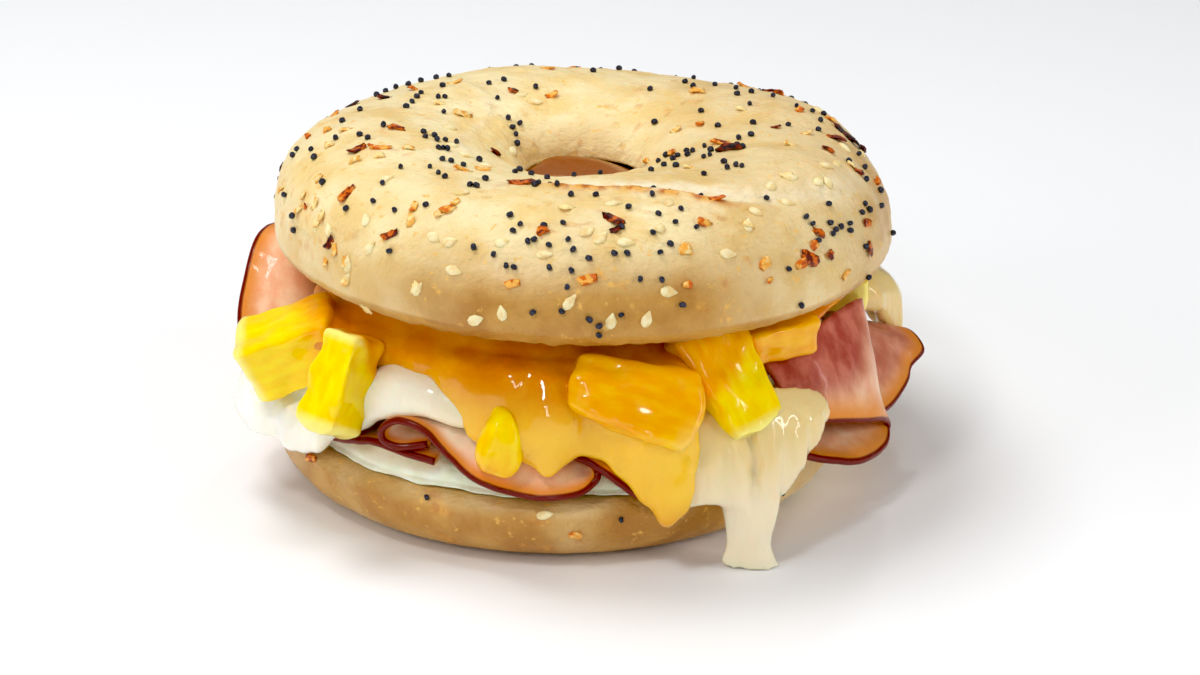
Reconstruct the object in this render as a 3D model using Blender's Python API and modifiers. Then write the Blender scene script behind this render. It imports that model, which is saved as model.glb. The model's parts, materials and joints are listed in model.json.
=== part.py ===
# A bagel sandwich: a seeded bagel cut in two round cream cheese, folded ham, a melted slice of
# white cheese, melted cheddar and pineapple pieces. The model is in metres, +Z up, and faces -Y.
# Sizes below are in millimetres. A bearing of 0 is the front, 90 the right-hand side (+X).

import math
import random

import bmesh
import bpy
import numpy as np
from mathutils import Euler, Matrix, Vector, noise
from mathutils.bvhtree import BVHTree

MM = 0.001
GAP = 0.4

# Driving dimensions of the bagel, in millimetres
HEEL_HEIGHT = 12.4
HEEL_RADIUS = 50.9
HEEL_WIDEST_AT = 9.9
HEEL_CUT_RADIUS = 49.0
HEEL_FOOT_RADIUS = 39.9
HEEL_HOLE_RADIUS = 13.0

LID_RADIUS = 54.0
LID_WIDEST_AT = 4.9
LID_CUT_RADIUS = 47.4
LID_CREST_RADIUS = 32.8
LID_HEIGHT = 21.7
LID_HOLE_RADIUS = 13.1
LID_HOLE_WALL_FROM = 12.9
LID_CENTRE = (3.9, 1.0, 38.3)
LID_TILT = (-1.3, 1.2)
LID_SIDE_RISE = 1.5

# The lid's hollow underside: the radius where it starts, how far in it runs, its height and its curve
HOLLOW_FROM = 46.0
HOLLOW_REACH = 32.0
HOLLOW_HEIGHT = 11.4
HOLLOW_CURVE = 1.3

# Lumps of hand-shaped dough: how wide and how high
LID_LUMPS = (21.0, 1.3)
HEEL_LUMPS = (24.0, 0.6)

# Where the lid's crust has torn open, from the hole to the right-hand side: bearing and radius
TEAR = [(8, 17.5), (30, 21.0), (48, 28.0), (58, 36.0), (64, 44.0), (70, 50.5)]
TEAR_HALF_WIDTH = 0.9
TEAR_LIFT = 0.25
TEAR_STEPS = 14

# Heights of the layers between the two halves
CREAM_TOP = 16.3
HAM_STACK_TOP = 24.4
HAM_STACK_RADIUS = 35.0
WHITE_UNDER = 24.8
WHITE_MIDDLE = 28.4
CHEDDAR_UNDER = 28.9
CHEDDAR_MIDDLE = 40.0
HAM_THICKNESS = 1.3
CHEESE_THICKNESS = 3.0
LOBE_THICKNESS = 2.4

# The cheddar fills the hollow of the lid and shows in its hole: radius and height, clear of the lid
CHEDDAR_CROWN = ((8.0, 50.2), (14.0, 48.9), (22.0, 46.0), (33.0, 42.0), (40.0, 41.0))
CROWN_CLEARANCE = 0.5

# Toppings: kind, how many, and how far each keeps from the next
LID_TOPPINGS = [("onion", 20, 3.4), ("sesame", 30, 2.8), ("poppy", 38, 2.2)]
HEEL_TOPPINGS = [("onion", 3, 3.0), ("sesame", 7, 2.5), ("poppy", 6, 2.0)]
# The radii that they lie between, and the heights at which they reach on to the side
LID_TOPPED = (17.5, 53.0, (3.5, 12.0))
HEEL_TOPPED = (49.5, 52.0, (4.5, 9.0))
SEED_SHARE_BURIED = 0.35

# Melted white cheese round the sandwich: bearing, shoulder radius and height, edge radius and height
WHITE_EDGE = [
    (-90, 38.0, 28.3, 41.5, 25.0), (-84, 42.0, 26.0, 49.0, 21.0), (-78, 48.5, 22.8, 58.2, 14.6),
    (-69, 50.0, 21.6, 58.0, 12.6), (-59, 49.5, 21.3, 55.2, 12.6), (-52, 48.5, 22.6, 53.9, 13.8),
    (-45, 47.8, 27.6, 52.0, 17.6), (-37, 46.6, 29.6, 50.4, 22.8), (-28, 45.6, 29.8, 48.6, 25.0),
    (-19, 44.4, 28.6, 48.2, 23.4), (-8, 42.0, 28.0, 46.0, 24.0), (6, 42.0, 28.0, 46.0, 23.0),
    (15, 44.0, 27.8, 50.0, 17.5), (21, 46.0, 27.4, 55.2, 11.0), (26, 46.5, 27.2, 56.4, 12.2),
    (31, 47.0, 27.2, 57.8, 10.6), (38, 47.0, 27.2, 57.6, 10.6), (43, 45.5, 27.8, 52.0, 20.0),
    (50, 42.0, 28.2, 45.5, 25.2), (62, 40.0, 28.3, 43.5, 25.6), (80, 40.0, 28.3, 43.5, 25.6),
    (90, 43.0, 29.4, 47.0, 26.4), (95, 51.5, 30.6, 58.0, 24.4), (100, 55.0, 31.4, 63.2, 17.4),
    (108, 55.0, 31.4, 63.0, 16.2), (118, 52.5, 30.4, 59.5, 18.2), (131, 48.0, 29.4, 54.0, 22.6),
    (145, 44.5, 28.6, 49.0, 24.6), (160, 46.0, 28.0, 53.0, 18.0), (174, 47.0, 27.6, 55.2, 13.6),
    (188, 46.5, 27.8, 54.0, 16.4), (205, 44.0, 28.3, 49.0, 23.8), (226, 42.0, 28.3, 46.0, 25.0),
    (246, 39.0, 28.3, 42.0, 25.0),
]
# Melted cheddar, in the same five columns
CHEDDAR_EDGE = [
    (-98, 37.5, 37.0, 41.0, 32.0), (-85, 38.0, 37.0, 41.5, 32.0), (-72, 41.0, 36.8, 45.0, 31.0),
    (-60, 42.5, 36.8, 47.0, 31.0), (-53, 43.0, 36.8, 47.4, 30.4), (-45, 42.5, 36.5, 46.2, 29.6),
    (-37, 41.5, 36.5, 45.0, 29.8), (-28, 41.5, 36.5, 45.2, 29.2), (-22, 42.5, 36.3, 47.2, 26.0),
    (-17, 43.5, 36.0, 49.4, 22.0), (-7, 44.0, 36.0, 51.0, 20.8), (-1.5, 44.0, 36.0, 52.8, 17.4),
    (3.5, 43.5, 36.0, 51.0, 21.4), (8, 43.0, 36.0, 50.8, 19.8), (12, 43.5, 36.0, 52.2, 17.0),
    (16, 44.0, 35.6, 55.0, 12.4), (18.8, 44.5, 35.5, 57.2, 8.8), (22.3, 44.5, 35.5, 57.2, 11.4),
    (25, 44.0, 35.6, 55.0, 20.0), (28, 43.5, 36.0, 51.0, 26.6), (33, 43.0, 36.3, 47.0, 30.2),
    (45, 43.0, 36.5, 46.5, 31.6), (56, 44.5, 36.8, 48.6, 33.0), (66, 47.0, 37.0, 51.0, 33.8),
    (76, 48.0, 37.0, 51.8, 34.2), (86, 46.0, 37.0, 49.0, 33.8), (100, 45.0, 37.0, 48.4, 33.0),
    (122, 44.5, 37.0, 48.4, 31.6), (140, 44.0, 36.8, 49.4, 28.0), (148, 44.0, 36.5, 52.4, 21.4),
    (156, 43.5, 36.8, 49.0, 29.0), (176, 43.0, 37.0, 46.5, 31.0), (194, 44.0, 36.8, 50.0, 27.4),
    (202, 44.0, 36.5, 52.6, 20.0), (210, 43.5, 36.8, 49.4, 28.6), (230, 42.5, 37.0, 46.0, 31.4),
    (248, 39.0, 37.0, 42.5, 32.0),
]
# The strand of white cheese that runs down to the table: height, centre x and y, half width and depth
DRIP = [
    (17.0, 31.6, -45.0, 5.4, 2.4), (12.5, 31.6, -46.6, 5.0, 2.4), (8.5, 31.7, -47.2, 4.5, 2.3),
    (4.5, 31.4, -47.4, 4.1, 2.2), (1.6, 31.6, -47.4, 4.6, 2.4), (0.0, 32.1, -47.4, 5.0, 2.4),
]
# A lobe of the white cheese laid over the right-hand ham: for each bearing, radius and height down it
WHITE_LOBE = [
    (35, [(50.5, 27.6), (55.8, 23.4), (58.0, 17.0), (57.9, 11.8)]),
    (40, [(51.5, 28.0), (56.2, 24.0), (58.0, 17.8), (57.9, 12.4)]),
    (45, [(52.8, 27.6), (56.4, 24.2), (57.9, 19.6), (57.8, 16.4)]),
    (49, [(54.0, 26.8), (56.6, 24.4), (57.8, 21.6), (57.7, 19.6)]),
    (52, [(55.4, 25.4), (56.8, 24.0), (57.5, 22.6), (57.6, 21.6)]),
]

# Folded ham slices: each column runs from the rind inwards, as x, y, z
HAM_LEFT = [
    [(-35.5, 29.0, 21.0), (-32.5, 26.0, 19.4), (-29.5, 23.5, 17.6)],
    [(-45.0, 27.0, 29.5), (-39.5, 22.5, 25.0), (-32.8, 18.0, 17.6)],
    [(-50.8, 18.5, 36.0), (-43.0, 15.0, 33.5), (-35.6, 11.0, 17.6)],
    [(-54.0, 9.0, 37.6), (-45.0, 7.0, 34.0), (-36.9, 5.0, 17.6)],
    [(-56.0, 3.4, 32.0), (-46.5, 1.0, 28.5), (-37.2, 0.5, 17.6)],
    [(-56.7, -4.0, 25.8), (-47.0, -5.0, 23.0), (-37.2, -3.6, 17.6)],
    [(-54.0, -12.0, 19.2), (-45.5, -10.5, 18.2), (-36.0, -9.0, 17.6)],
    [(-46.0, -25.0, 16.8), (-40.0, -21.5, 17.2), (-31.5, -17.5, 17.6)],
    [(-38.4, -34.0, 17.2), (-33.5, -29.5, 17.6), (-27.0, -24.5, 17.8)],
    [(-31.4, -39.8, 19.0), (-28.5, -34.9, 18.4), (-23.2, -28.8, 17.9)],
    [(-25.2, -42.4, 18.0), (-22.8, -37.4, 17.8), (-18.6, -31.2, 17.7)],
    [(-20.6, -44.2, 17.3), (-18.6, -39.0, 17.4), (-15.4, -33.0, 17.6)],
]
HAM_FRONT = [
    [(-21.8, -43.0, 20.0), (-20.5, -39.0, 20.0), (-18.5, -34.5, 20.2)],
    [(-26.1, -42.6, 19.3), (-24.3, -38.6, 19.4), (-21.8, -33.6, 19.7)],
    [(-29.1, -42.0, 20.3), (-26.8, -38.0, 20.3), (-23.7, -32.6, 20.4)],
    [(-29.2, -42.0, 22.6), (-26.9, -38.0, 22.4), (-23.8, -32.6, 21.9)],
    [(-26.5, -43.0, 24.3), (-24.6, -39.0, 24.0), (-21.9, -33.8, 23.3)],
    [(-21.8, -45.0, 22.9), (-20.0, -40.5, 23.6), (-17.6, -35.6, 23.7)],
    [(-17.6, -48.0, 19.5), (-16.2, -43.0, 22.6), (-14.2, -37.0, 23.8)],
    [(-12.6, -50.5, 16.2), (-11.8, -45.5, 20.6), (-10.4, -38.4, 23.6)],
    [(-3.6, -52.0, 14.2), (-3.4, -47.0, 18.6), (-3.0, -39.5, 22.6)],
    [(3.0, -51.8, 14.7), (2.4, -47.0, 17.6), (1.8, -39.8, 20.6)],
    [(6.0, -50.0, 16.0), (4.6, -46.0, 17.4), (3.6, -39.8, 18.8)],
]
HAM_FRONT_RIGHT = [
    [(2.4, -45.2, 20.8), (2.6, -41.5, 21.8), (2.8, -37.6, 22.8)],
    [(5.0, -46.4, 20.2), (5.0, -42.0, 21.6), (5.0, -37.4, 22.8)],
    [(8.2, -47.6, 18.0), (8.0, -42.4, 20.8), (7.6, -37.0, 22.8)],
    [(13.1, -49.6, 13.8), (12.4, -43.6, 18.4), (11.2, -36.2, 22.4)],
    [(19.0, -47.6, 13.2), (17.4, -41.5, 17.2), (15.0, -34.8, 21.6)],
    [(26.0, -44.0, 14.0), (23.5, -38.2, 17.4), (19.8, -32.2, 21.0)],
    [(31.5, -39.5, 16.0), (28.0, -34.5, 18.4), (23.8, -29.4, 20.6)],
]
HAM_RIGHT_FOLD = [
    [(39.2, -34.8, 20.0), (37.0, -32.4, 26.0), (33.0, -29.0, 30.6)],
    [(47.0, -30.2, 18.4), (44.6, -28.6, 26.0), (41.6, -25.2, 32.6)],
    [(52.4, -25.6, 16.4), (50.4, -22.6, 25.6), (47.4, -18.4, 34.0)],
    [(55.4, -21.6, 14.8), (53.6, -17.0, 24.8), (51.6, -12.6, 33.4)],
    [(57.2, -18.6, 12.4), (51.0, -13.0, 17.0), (43.0, -8.6, 20.4)],
    [(56.4, -22.4, 10.4), (49.0, -17.8, 14.6), (37.6, -12.6, 17.6)],
    [(52.0, -29.6, 10.8), (45.0, -24.4, 14.4), (34.6, -18.0, 17.4)],
    [(46.4, -34.2, 12.8), (40.4, -28.8, 15.4), (31.0, -22.0, 17.4)],
    [(41.0, -37.2, 15.4), (35.4, -31.6, 16.8), (27.4, -25.4, 17.6)],
]
HAM_RIGHT_BACK = [
    [(56.4, -11.4, 11.4), (51.4, -8.4, 17.4), (44.6, -5.0, 21.4)],
    [(59.0, -7.4, 12.0), (53.0, -5.2, 18.0), (46.0, -3.2, 22.4)],
    [(61.6, -2.6, 13.8), (54.4, -1.6, 20.4), (46.6, -0.6, 23.2)],
    [(62.6, 1.4, 15.2), (54.8, 1.4, 22.2), (46.8, 1.6, 24.0)],
    [(65.0, 4.0, 17.4), (55.0, 4.4, 21.6), (46.8, 4.6, 23.6)],
    [(62.4, 6.8, 19.8), (53.4, 7.2, 21.4), (46.4, 7.2, 22.8)],
    [(55.4, 10.4, 18.4), (50.4, 10.4, 20.0), (45.0, 10.2, 21.0)],
    [(53.6, 18.0, 16.4), (48.0, 16.6, 18.2), (41.4, 15.0, 19.4)],
    [(49.6, 25.6, 18.2), (44.4, 23.4, 19.2), (37.6, 20.6, 19.4)],
]
# The wavy slice at the back: bearings, number of waves, then radii and heights with their waves
BACK_HAM_FROM, BACK_HAM_TO = 128, 232
BACK_HAM_WAVES = 4.5
BACK_HAM_STEPS = 12
BACK_HAM_RIM = (53.5, 1.6, 18.0, 1.9)
BACK_HAM_MIDDLE = (46.5, 18.6, 1.2)
BACK_HAM_ROOT = (38.0, 19.4)

# Pineapple pieces: centre, direction of the long side, the way the top faces, three sizes and taper
PINEAPPLE = [
    ((-44.6, -24.2, 30.0), (1.0, -0.10, 0.40), (-0.40, -0.25, 1.0), 16.0, 12.0, 10.8, 0.84),
    ((-36.0, -37.6, 29.2), (0.30, 0.34, 0.90), (-0.60, -0.76, 0.30), 15.4, 8.8, 7.8, 0.80),
    ((-9.4, -50.2, 23.8), (0.30, 0.15, 0.95), (0.10, -1.0, 0.10), 8.8, 7.6, 6.8, 0.64),
    ((11.8, -44.8, 30.0), (0.97, -0.10, -0.20), (0.10, -0.55, 0.83), 20.6, 11.0, 10.6, 0.92),
    ((28.4, -38.8, 28.2), (0.50, -0.42, -0.76), (0.40, -0.58, 0.70), 17.4, 12.4, 9.8, 0.72),
    ((36.2, -28.4, 34.0), (0.85, 0.50, 0.0), (0.0, -0.15, 1.0), 12.5, 8.4, 5.6, 0.85),
    ((51.6, 3.6, 30.2), (0.20, 0.95, 0.10), (0.10, 0.0, 1.0), 9.0, 6.4, 6.8, 0.80),
    ((24.6, 43.6, 29.2), (0.85, -0.50, 0.10), (0.10, 0.50, 0.85), 16.5, 12.0, 9.6, 0.80),
    ((-10.5, 47.8, 28.6), (1.0, 0.20, -0.30), (0.20, 0.80, 0.60), 15.5, 11.0, 9.6, 0.78),
    ((-33.6, 36.6, 29.6), (0.60, 0.60, 0.50), (-0.40, 0.60, 0.70), 15.0, 10.4, 8.8, 0.80),
]
FRUIT_EDGE = 1.1

# Colours: red, green, blue, then roughness
COLOURS = {
    "crust": ((0.80, 0.62, 0.34), 0.62),
    "cream_cheese": ((0.88, 0.88, 0.80), 0.45),
    "ham": ((0.78, 0.42, 0.34), 0.42),
    "white_cheese": ((0.90, 0.84, 0.62), 0.30),
    "cheddar": ((0.86, 0.50, 0.06), 0.28),
    "pineapple": ((0.93, 0.74, 0.05), 0.30),
}


def material(name):
    """A plain finish in the piece's own colour."""
    found = bpy.data.materials.get(name)
    if found:
        return found
    made = bpy.data.materials.new(name)
    made.use_nodes = True
    shader = made.node_tree.nodes["Principled BSDF"]
    colour, roughness = COLOURS[name]
    shader.inputs["Base Color"].default_value = (*colour, 1.0)
    shader.inputs["Roughness"].default_value = roughness
    made.diffuse_color = (*colour, 1.0)
    return made


def new_object(name, bm, collection, finish=None):
    """An object from a bmesh whose points are in millimetres."""
    bmesh.ops.recalc_face_normals(bm, faces=bm.faces)
    bmesh.ops.scale(bm, vec=(MM, MM, MM), verts=bm.verts)
    mesh = bpy.data.meshes.new(name)
    bm.to_mesh(mesh)
    bm.free()
    made = bpy.data.objects.new(name, mesh)
    collection.objects.link(made)
    if finish:
        mesh.materials.append(material(finish))
    return made


def apply_modifiers(obj):
    """Turns the evaluated shape into the object's own mesh."""
    graph = bpy.context.evaluated_depsgraph_get()
    graph.update()
    shape = bpy.data.meshes.new_from_object(obj.evaluated_get(graph))
    old = obj.data
    obj.modifiers.clear()
    obj.data = shape
    bpy.data.meshes.remove(old)
    return obj


def surface_of(obj):
    """The object's surface, ready for finding where a ray meets it."""
    places = [v.co for v in obj.data.vertices]
    return BVHTree.FromPolygons(places, [list(p.vertices) for p in obj.data.polygons])


def polar(bearing, radius, height):
    """A point from its bearing in degrees, radius and height."""
    angle = math.radians(bearing)
    return Vector((radius * math.sin(angle), -radius * math.cos(angle), height))


def ease(t):
    """A smooth step from 0 to 1."""
    return t * t * (3 - 2 * t)


def round_table(table, bearing):
    """The columns of a table of bearings at one bearing, eased from row to row all the way round."""
    bearing = (bearing - table[0][0]) % 360 + table[0][0]
    rows = [*table, (table[0][0] + 360, *table[0][1:])]
    for before, after in zip(rows, rows[1:]):
        if before[0] <= bearing <= after[0]:
            t = ease((bearing - before[0]) / (after[0] - before[0]))
            return [a + (b - a) * t for a, b in zip(before[1:], after[1:])]
    return list(table[0][1:])


def catmull(points, t):
    """A point of the smooth curve through points, t from 0 to 1."""
    spans = len(points) - 1
    k = min(int(t * spans), spans - 1)
    f = t * spans - k
    p1, p2 = points[k], points[k + 1]
    p0 = points[k - 1] if k else p1 * 2 - p2
    p3 = points[k + 2] if k + 2 <= spans else p2 * 2 - p1
    return 0.5 * (
        2 * p1
        + (p2 - p0) * f
        + (2 * p0 - 5 * p1 + 4 * p2 - p3) * f**2
        + (3 * p1 - p0 - 3 * p2 + p3) * f**3
    )


def quarter(start, end, steps, power=2.15):
    """Points of a rounded quarter from start, level there, to end, upright there."""
    (s0, z0), (s1, z1) = start, end
    found = []
    for k in range(steps + 1):
        angle = math.pi / 2 * k / steps
        across = math.sin(angle) ** (2 / power)
        down = math.cos(angle) ** (2 / power)
        found.append((s0 + (s1 - s0) * across, z1 + (z0 - z1) * down))
    return found


def turned(name, profile, steps, collection, finish):
    """A closed profile of (radius, height) points, down its outer side, turned round the upright axis."""
    bm = bmesh.new()
    corners = [bm.verts.new((s, 0, z)) for s, z in profile]
    for a, b in zip(corners, corners[1:] + corners[:1]):
        bm.edges.new((a, b))
    made = new_object(name, bm, collection, finish)
    screw = made.modifiers.new("turn", "SCREW")
    screw.steps = screw.render_steps = steps
    screw.use_merge_vertices = True
    screw.merge_threshold = 1e-6
    apply_modifiers(made)
    bm = bmesh.new()
    bm.from_mesh(made.data)
    bmesh.ops.remove_doubles(bm, verts=bm.verts, dist=1e-6)
    bmesh.ops.recalc_face_normals(bm, faces=bm.faces)
    bm.to_mesh(made.data)
    bm.free()
    return made


def lump(obj, size, height, seed):
    """Pushes the crust in and out a little, as hand-shaped dough is. What faces down stays as it is."""
    shift = Vector((seed * 7.3, seed * 3.1, seed * 5.7))
    for v in obj.data.vertices:
        share = min(1.0, max(0.0, v.normal.z + 0.7))
        v.co += v.normal * noise.noise(v.co / MM / size + shift) * height * share * MM
    obj.data.update()


def raise_sides(lid):
    """The crown stands a little higher on the left and the right than at the front and the back."""
    for v in lid.data.vertices:
        if v.normal.z > -0.3:
            share = (v.co.x / MM / LID_RADIUS) ** 2 * min(1.0, max(0.0, v.co.z / MM / LID_HEIGHT))
            v.co.z += LID_SIDE_RISE * share * MM
    lid.data.update()


def heel_profile():
    """The bottom half: flat foot, rounded side, flat cut face and the hole."""
    side = quarter((HEEL_FOOT_RADIUS, 0), (HEEL_RADIUS, HEEL_WIDEST_AT), 5, 2.0)
    hole_flare = quarter((HEEL_HOLE_RADIUS + 7.0, 0), (HEEL_HOLE_RADIUS, 8.0), 3, 2.0)
    return [
        (HEEL_CUT_RADIUS, HEEL_HEIGHT),
        (HEEL_RADIUS - 0.3, HEEL_WIDEST_AT + 1.2),
        *reversed(side),
        (30.0, 0.0),
        *hole_flare,
        (HEEL_HOLE_RADIUS, HEEL_HEIGHT),
        (31.0, HEEL_HEIGHT),
    ]


def underside(radius):
    """Height of the lid's hollow underside above its lower edge."""
    return HOLLOW_HEIGHT * max(0.0, (HOLLOW_FROM - radius) / HOLLOW_REACH) ** HOLLOW_CURVE


def lid_profile():
    """The top half: a full crown, a tight lower edge and an underside arched over the filling."""
    crest = (LID_CREST_RADIUS, LID_HEIGHT)
    outer = quarter(crest, (LID_RADIUS, LID_WIDEST_AT), 8, 2.25)
    inner = quarter(crest, (LID_HOLE_RADIUS, LID_HOLE_WALL_FROM), 6)
    tucked = LID_RADIUS - LID_CUT_RADIUS
    tuck = [(LID_RADIUS - tucked * t * t, LID_WIDEST_AT * (1 - t)) for t in (0.55, 1.0)]
    under = [(s, underside(s)) for s in (42.0, 34.0, 24.0, 14.2)]
    return [*outer, *tuck, *under, *reversed(inner[1:])]


def lid_place():
    """How the lid lies: moved off the heel's centre and tilted a little."""
    turn = Euler((math.radians(LID_TILT[0]), math.radians(LID_TILT[1]), 0)).to_matrix().to_4x4()
    return Matrix.Translation(Vector(LID_CENTRE) * MM) @ turn


def roof(point):
    """Height of the lid's underside above a point, less a small clearance."""
    x, y = point.x - LID_CENTRE[0], point.y - LID_CENTRE[1]
    lean = y * math.tan(math.radians(LID_TILT[0])) - x * math.tan(math.radians(LID_TILT[1]))
    return LID_CENTRE[2] + underside(math.hypot(x, y)) + lean - CROWN_CLEARANCE


def shared_bearings(dense_from=-30, dense_to=57, dense=3.0, coarse=7.4):
    """Bearings all round, closer together at the front where the drips are."""
    front = np.arange(dense_from, dense_to, dense)
    rest = np.arange(dense_to, dense_from + 360, coarse)
    return [float(b) for b in (*front, *rest)]


def melted_sheet(name, table, middle, under, thickness, collection, finish, crown=()):
    """A melted slice: level in the middle, over a shoulder and down to an edge that the table gives.

    The crown is the radii and heights at which it also fills the hollow of the lid."""
    bm = bmesh.new()
    top_pole = bm.verts.new((0, 0, crown[0][1] if crown else middle))
    low_pole = bm.verts.new((0, 0, under))
    rings = []
    for bearing in shared_bearings():
        shoulder_s, shoulder_z, edge_s, edge_z = round_table(table, bearing)
        inner_s = edge_s - thickness
        inner_top = max(under, min(shoulder_z, middle) - thickness)
        start, bend, end = ((shoulder_s, shoulder_z), (edge_s, shoulder_z), (edge_s, edge_z + 1.2))
        over = [quadratic(start, bend, end, t) for t in (0.0, 0.4, 0.75, 1.0)]
        start, bend, end = (
            (inner_s, edge_z + 0.9),
            (inner_s, inner_top),
            (min(shoulder_s - 1.5, inner_s), inner_top),
        )
        back = [quadratic(start, bend, end, t) for t in (0.0, 0.5, 1.0)]
        level = [(s, min(z, roof(polar(bearing, s, 0)))) for s, z in crown]
        profile = [*level, *over, (edge_s - thickness * 0.4, edge_z), *back]
        rings.append([bm.verts.new(polar(bearing, s, z)) for s, z in profile])
    for a, b in zip(rings, rings[1:] + rings[:1]):
        for i in range(len(a) - 1):
            bm.faces.new((a[i], a[i + 1], b[i + 1], b[i]))
        bm.faces.new((top_pole, a[0], b[0]))
        bm.faces.new((low_pole, b[-1], a[-1]))
    return new_object(name, bm, collection, finish)


def quadratic(a, b, c, t):
    """A point of the curve from a to c that b pulls."""
    return tuple((1 - t) ** 2 * p + 2 * t * (1 - t) * q + t * t * r for p, q, r in zip(a, b, c))


def plate(name, columns, thickness, along, across, collection, finish):
    """A curved sheet through a net of points, with an even thickness."""
    net = [[Vector(p) for p in column] for column in columns]
    bm = bmesh.new()
    rows = []
    for i in range(along + 1):
        u = i / along
        column = [catmull([c[k] for c in net], u) for k in range(len(net[0]))]
        rows.append([bm.verts.new(catmull(column, j / across)) for j in range(across + 1)])
    for a, b in zip(rows, rows[1:]):
        for j in range(across):
            bm.faces.new((a[j], b[j], b[j + 1], a[j + 1]))
    made = new_object(name, bm, collection, finish)
    shell = made.modifiers.new("thickness", "SOLIDIFY")
    shell.thickness = thickness * MM
    shell.offset = 0.0
    return apply_modifiers(made)


def stacked(name, levels, sides, collection, finish):
    """A loft through level ellipses, each given as height, centre x and y, half width and half depth."""
    bm = bmesh.new()
    rings = []
    turns = [(math.cos(a), math.sin(a)) for a in (2 * math.pi * k / sides for k in range(sides))]
    for z, x, y, half_x, half_y in levels:
        rings.append([bm.verts.new((x + half_x * cos, y + half_y * sin, z)) for cos, sin in turns])
    for a, b in zip(rings, rings[1:]):
        for i in range(sides):
            j = (i + 1) % sides
            bm.faces.new((a[i], a[j], b[j], b[i]))
    bm.faces.new(rings[0])
    bm.faces.new(rings[-1])
    return new_object(name, bm, collection, finish)


def pineapple_piece(name, spec, collection):
    """A cut piece of fruit: a tapered block with a bowed outer side and soft edges."""
    centre, along, up, length, width, height, taper = spec
    long_axis = Vector(along).normalized()
    side_axis = Vector(up).cross(long_axis).normalized()
    up_axis = long_axis.cross(side_axis)
    bm = bmesh.new()
    bmesh.ops.create_cube(bm, size=1.0)
    across = [e for e in bm.edges if abs((e.verts[0].co - e.verts[1].co).y) > 0.5]
    bmesh.ops.subdivide_edges(bm, edges=across, cuts=1)
    for v in bm.verts:
        narrow = 1.0 + (taper - 1.0) * (v.co.x + 0.5)
        bow = 0.10 * (1 - (2 * v.co.y) ** 2)
        x = v.co.x - bow if v.co.x < 0 else v.co.x + 0.3 * bow
        v.co = Vector((x * length, v.co.y * width * narrow, v.co.z * height * (0.9 + 0.1 * narrow)))
    turn = Matrix((long_axis, side_axis, up_axis)).transposed()
    for v in bm.verts:
        v.co = turn @ v.co + Vector(centre)
    made = new_object(name, bm, collection, "pineapple")
    bevel = made.modifiers.new("soft edges", "BEVEL")
    bevel.width = FRUIT_EDGE * MM
    bevel.segments = 1
    return apply_modifiers(made)


def cutter_of(obj, gap, cutters):
    """A copy of a piece grown by the gap, which cuts room for it out of its neighbour."""
    made = bpy.data.objects.new("room_for_" + obj.name, obj.data.copy())
    made.matrix_world = obj.matrix_world
    for v, normal in zip(made.data.vertices, [n.vector.copy() for n in obj.data.vertex_normals]):
        v.co += normal * gap * MM
    cutters.objects.link(made)
    made.hide_render = True
    made.display_type = "WIRE"
    return made


def solve(obj, other, operation):
    """One Boolean, applied."""
    change = obj.modifiers.new(operation.lower(), "BOOLEAN")
    change.operation = operation
    change.solver = "MANIFOLD"
    change.object = other
    return apply_modifiers(obj)


def make_room(obj, neighbours, cutters, gap=GAP):
    """Cuts the grown shapes of the neighbours out of a piece and keeps its largest part."""
    for neighbour in neighbours:
        solve(obj, cutter_of(neighbour, gap, cutters), "DIFFERENCE")
    keep_largest(obj)


def turn_after(v, onto):
    """The most that a face round v turns when v moves onto its neighbour, in degrees."""
    most = 0.0
    for face in v.link_faces:
        if onto in face.verts:
            continue
        a, b = [w.co for w in face.verts if w is not v]
        before = (a - v.co).cross(b - v.co)
        after = (a - onto.co).cross(b - onto.co)
        if after.length < 1e-10 or before.length < 1e-12:
            return 180.0
        most = max(most, math.degrees(before.angle(after)))
    return most


def lighten(obj, longest=1.5, flat=6.0, tiny=0.12, turned_by=30.0):
    """Fewer faces on a shape that the cuts have split up: short edges close where little changes.

    An edge closes if it is shorter than the longest, and the faces round it turn by less than flat
    degrees, or, for a tiny edge, by less than turned_by."""
    bm = bmesh.new()
    bm.from_mesh(obj.data)
    bmesh.ops.triangulate(bm, faces=bm.faces)
    for _ in range(3):
        short = [e for e in bm.edges if e.calc_length() < longest * MM]
        for e in sorted(short, key=lambda edge: edge.calc_length()):
            if not e.is_valid or not all(v.is_manifold for v in e.verts):
                continue
            ends = list(e.verts)
            around = [{x.other_vert(v) for x in v.link_edges} for v in ends]
            if len(around[0] & around[1]) != 2:
                continue
            allowed = turned_by if e.calc_length() < tiny * MM else flat
            turn, v, onto = min(
                ((turn_after(v, onto), v, onto) for v, onto in (ends, ends[::-1])),
                key=lambda option: option[0],
            )
            if turn < allowed:
                bmesh.ops.pointmerge(bm, verts=[onto, v], merge_co=onto.co)
    bm.to_mesh(obj.data)
    bm.free()


def keep_largest(obj):
    """Drops loose scraps that a cut has left."""
    bm = bmesh.new()
    bm.from_mesh(obj.data)
    bm.verts.ensure_lookup_table()
    unseen = set(bm.verts)
    groups = []
    while unseen:
        group, edge = set(), [unseen.pop()]
        while edge:
            v = edge.pop()
            group.add(v)
            near = [e.other_vert(v) for e in v.link_edges]
            edge += [n for n in near if n in unseen]
            unseen.difference_update(near)
        groups.append(group)
    largest = max(groups, key=len)
    bmesh.ops.delete(bm, geom=[v for v in bm.verts if v not in largest], context="VERTS")
    bm.to_mesh(obj.data)
    bm.free()


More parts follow.
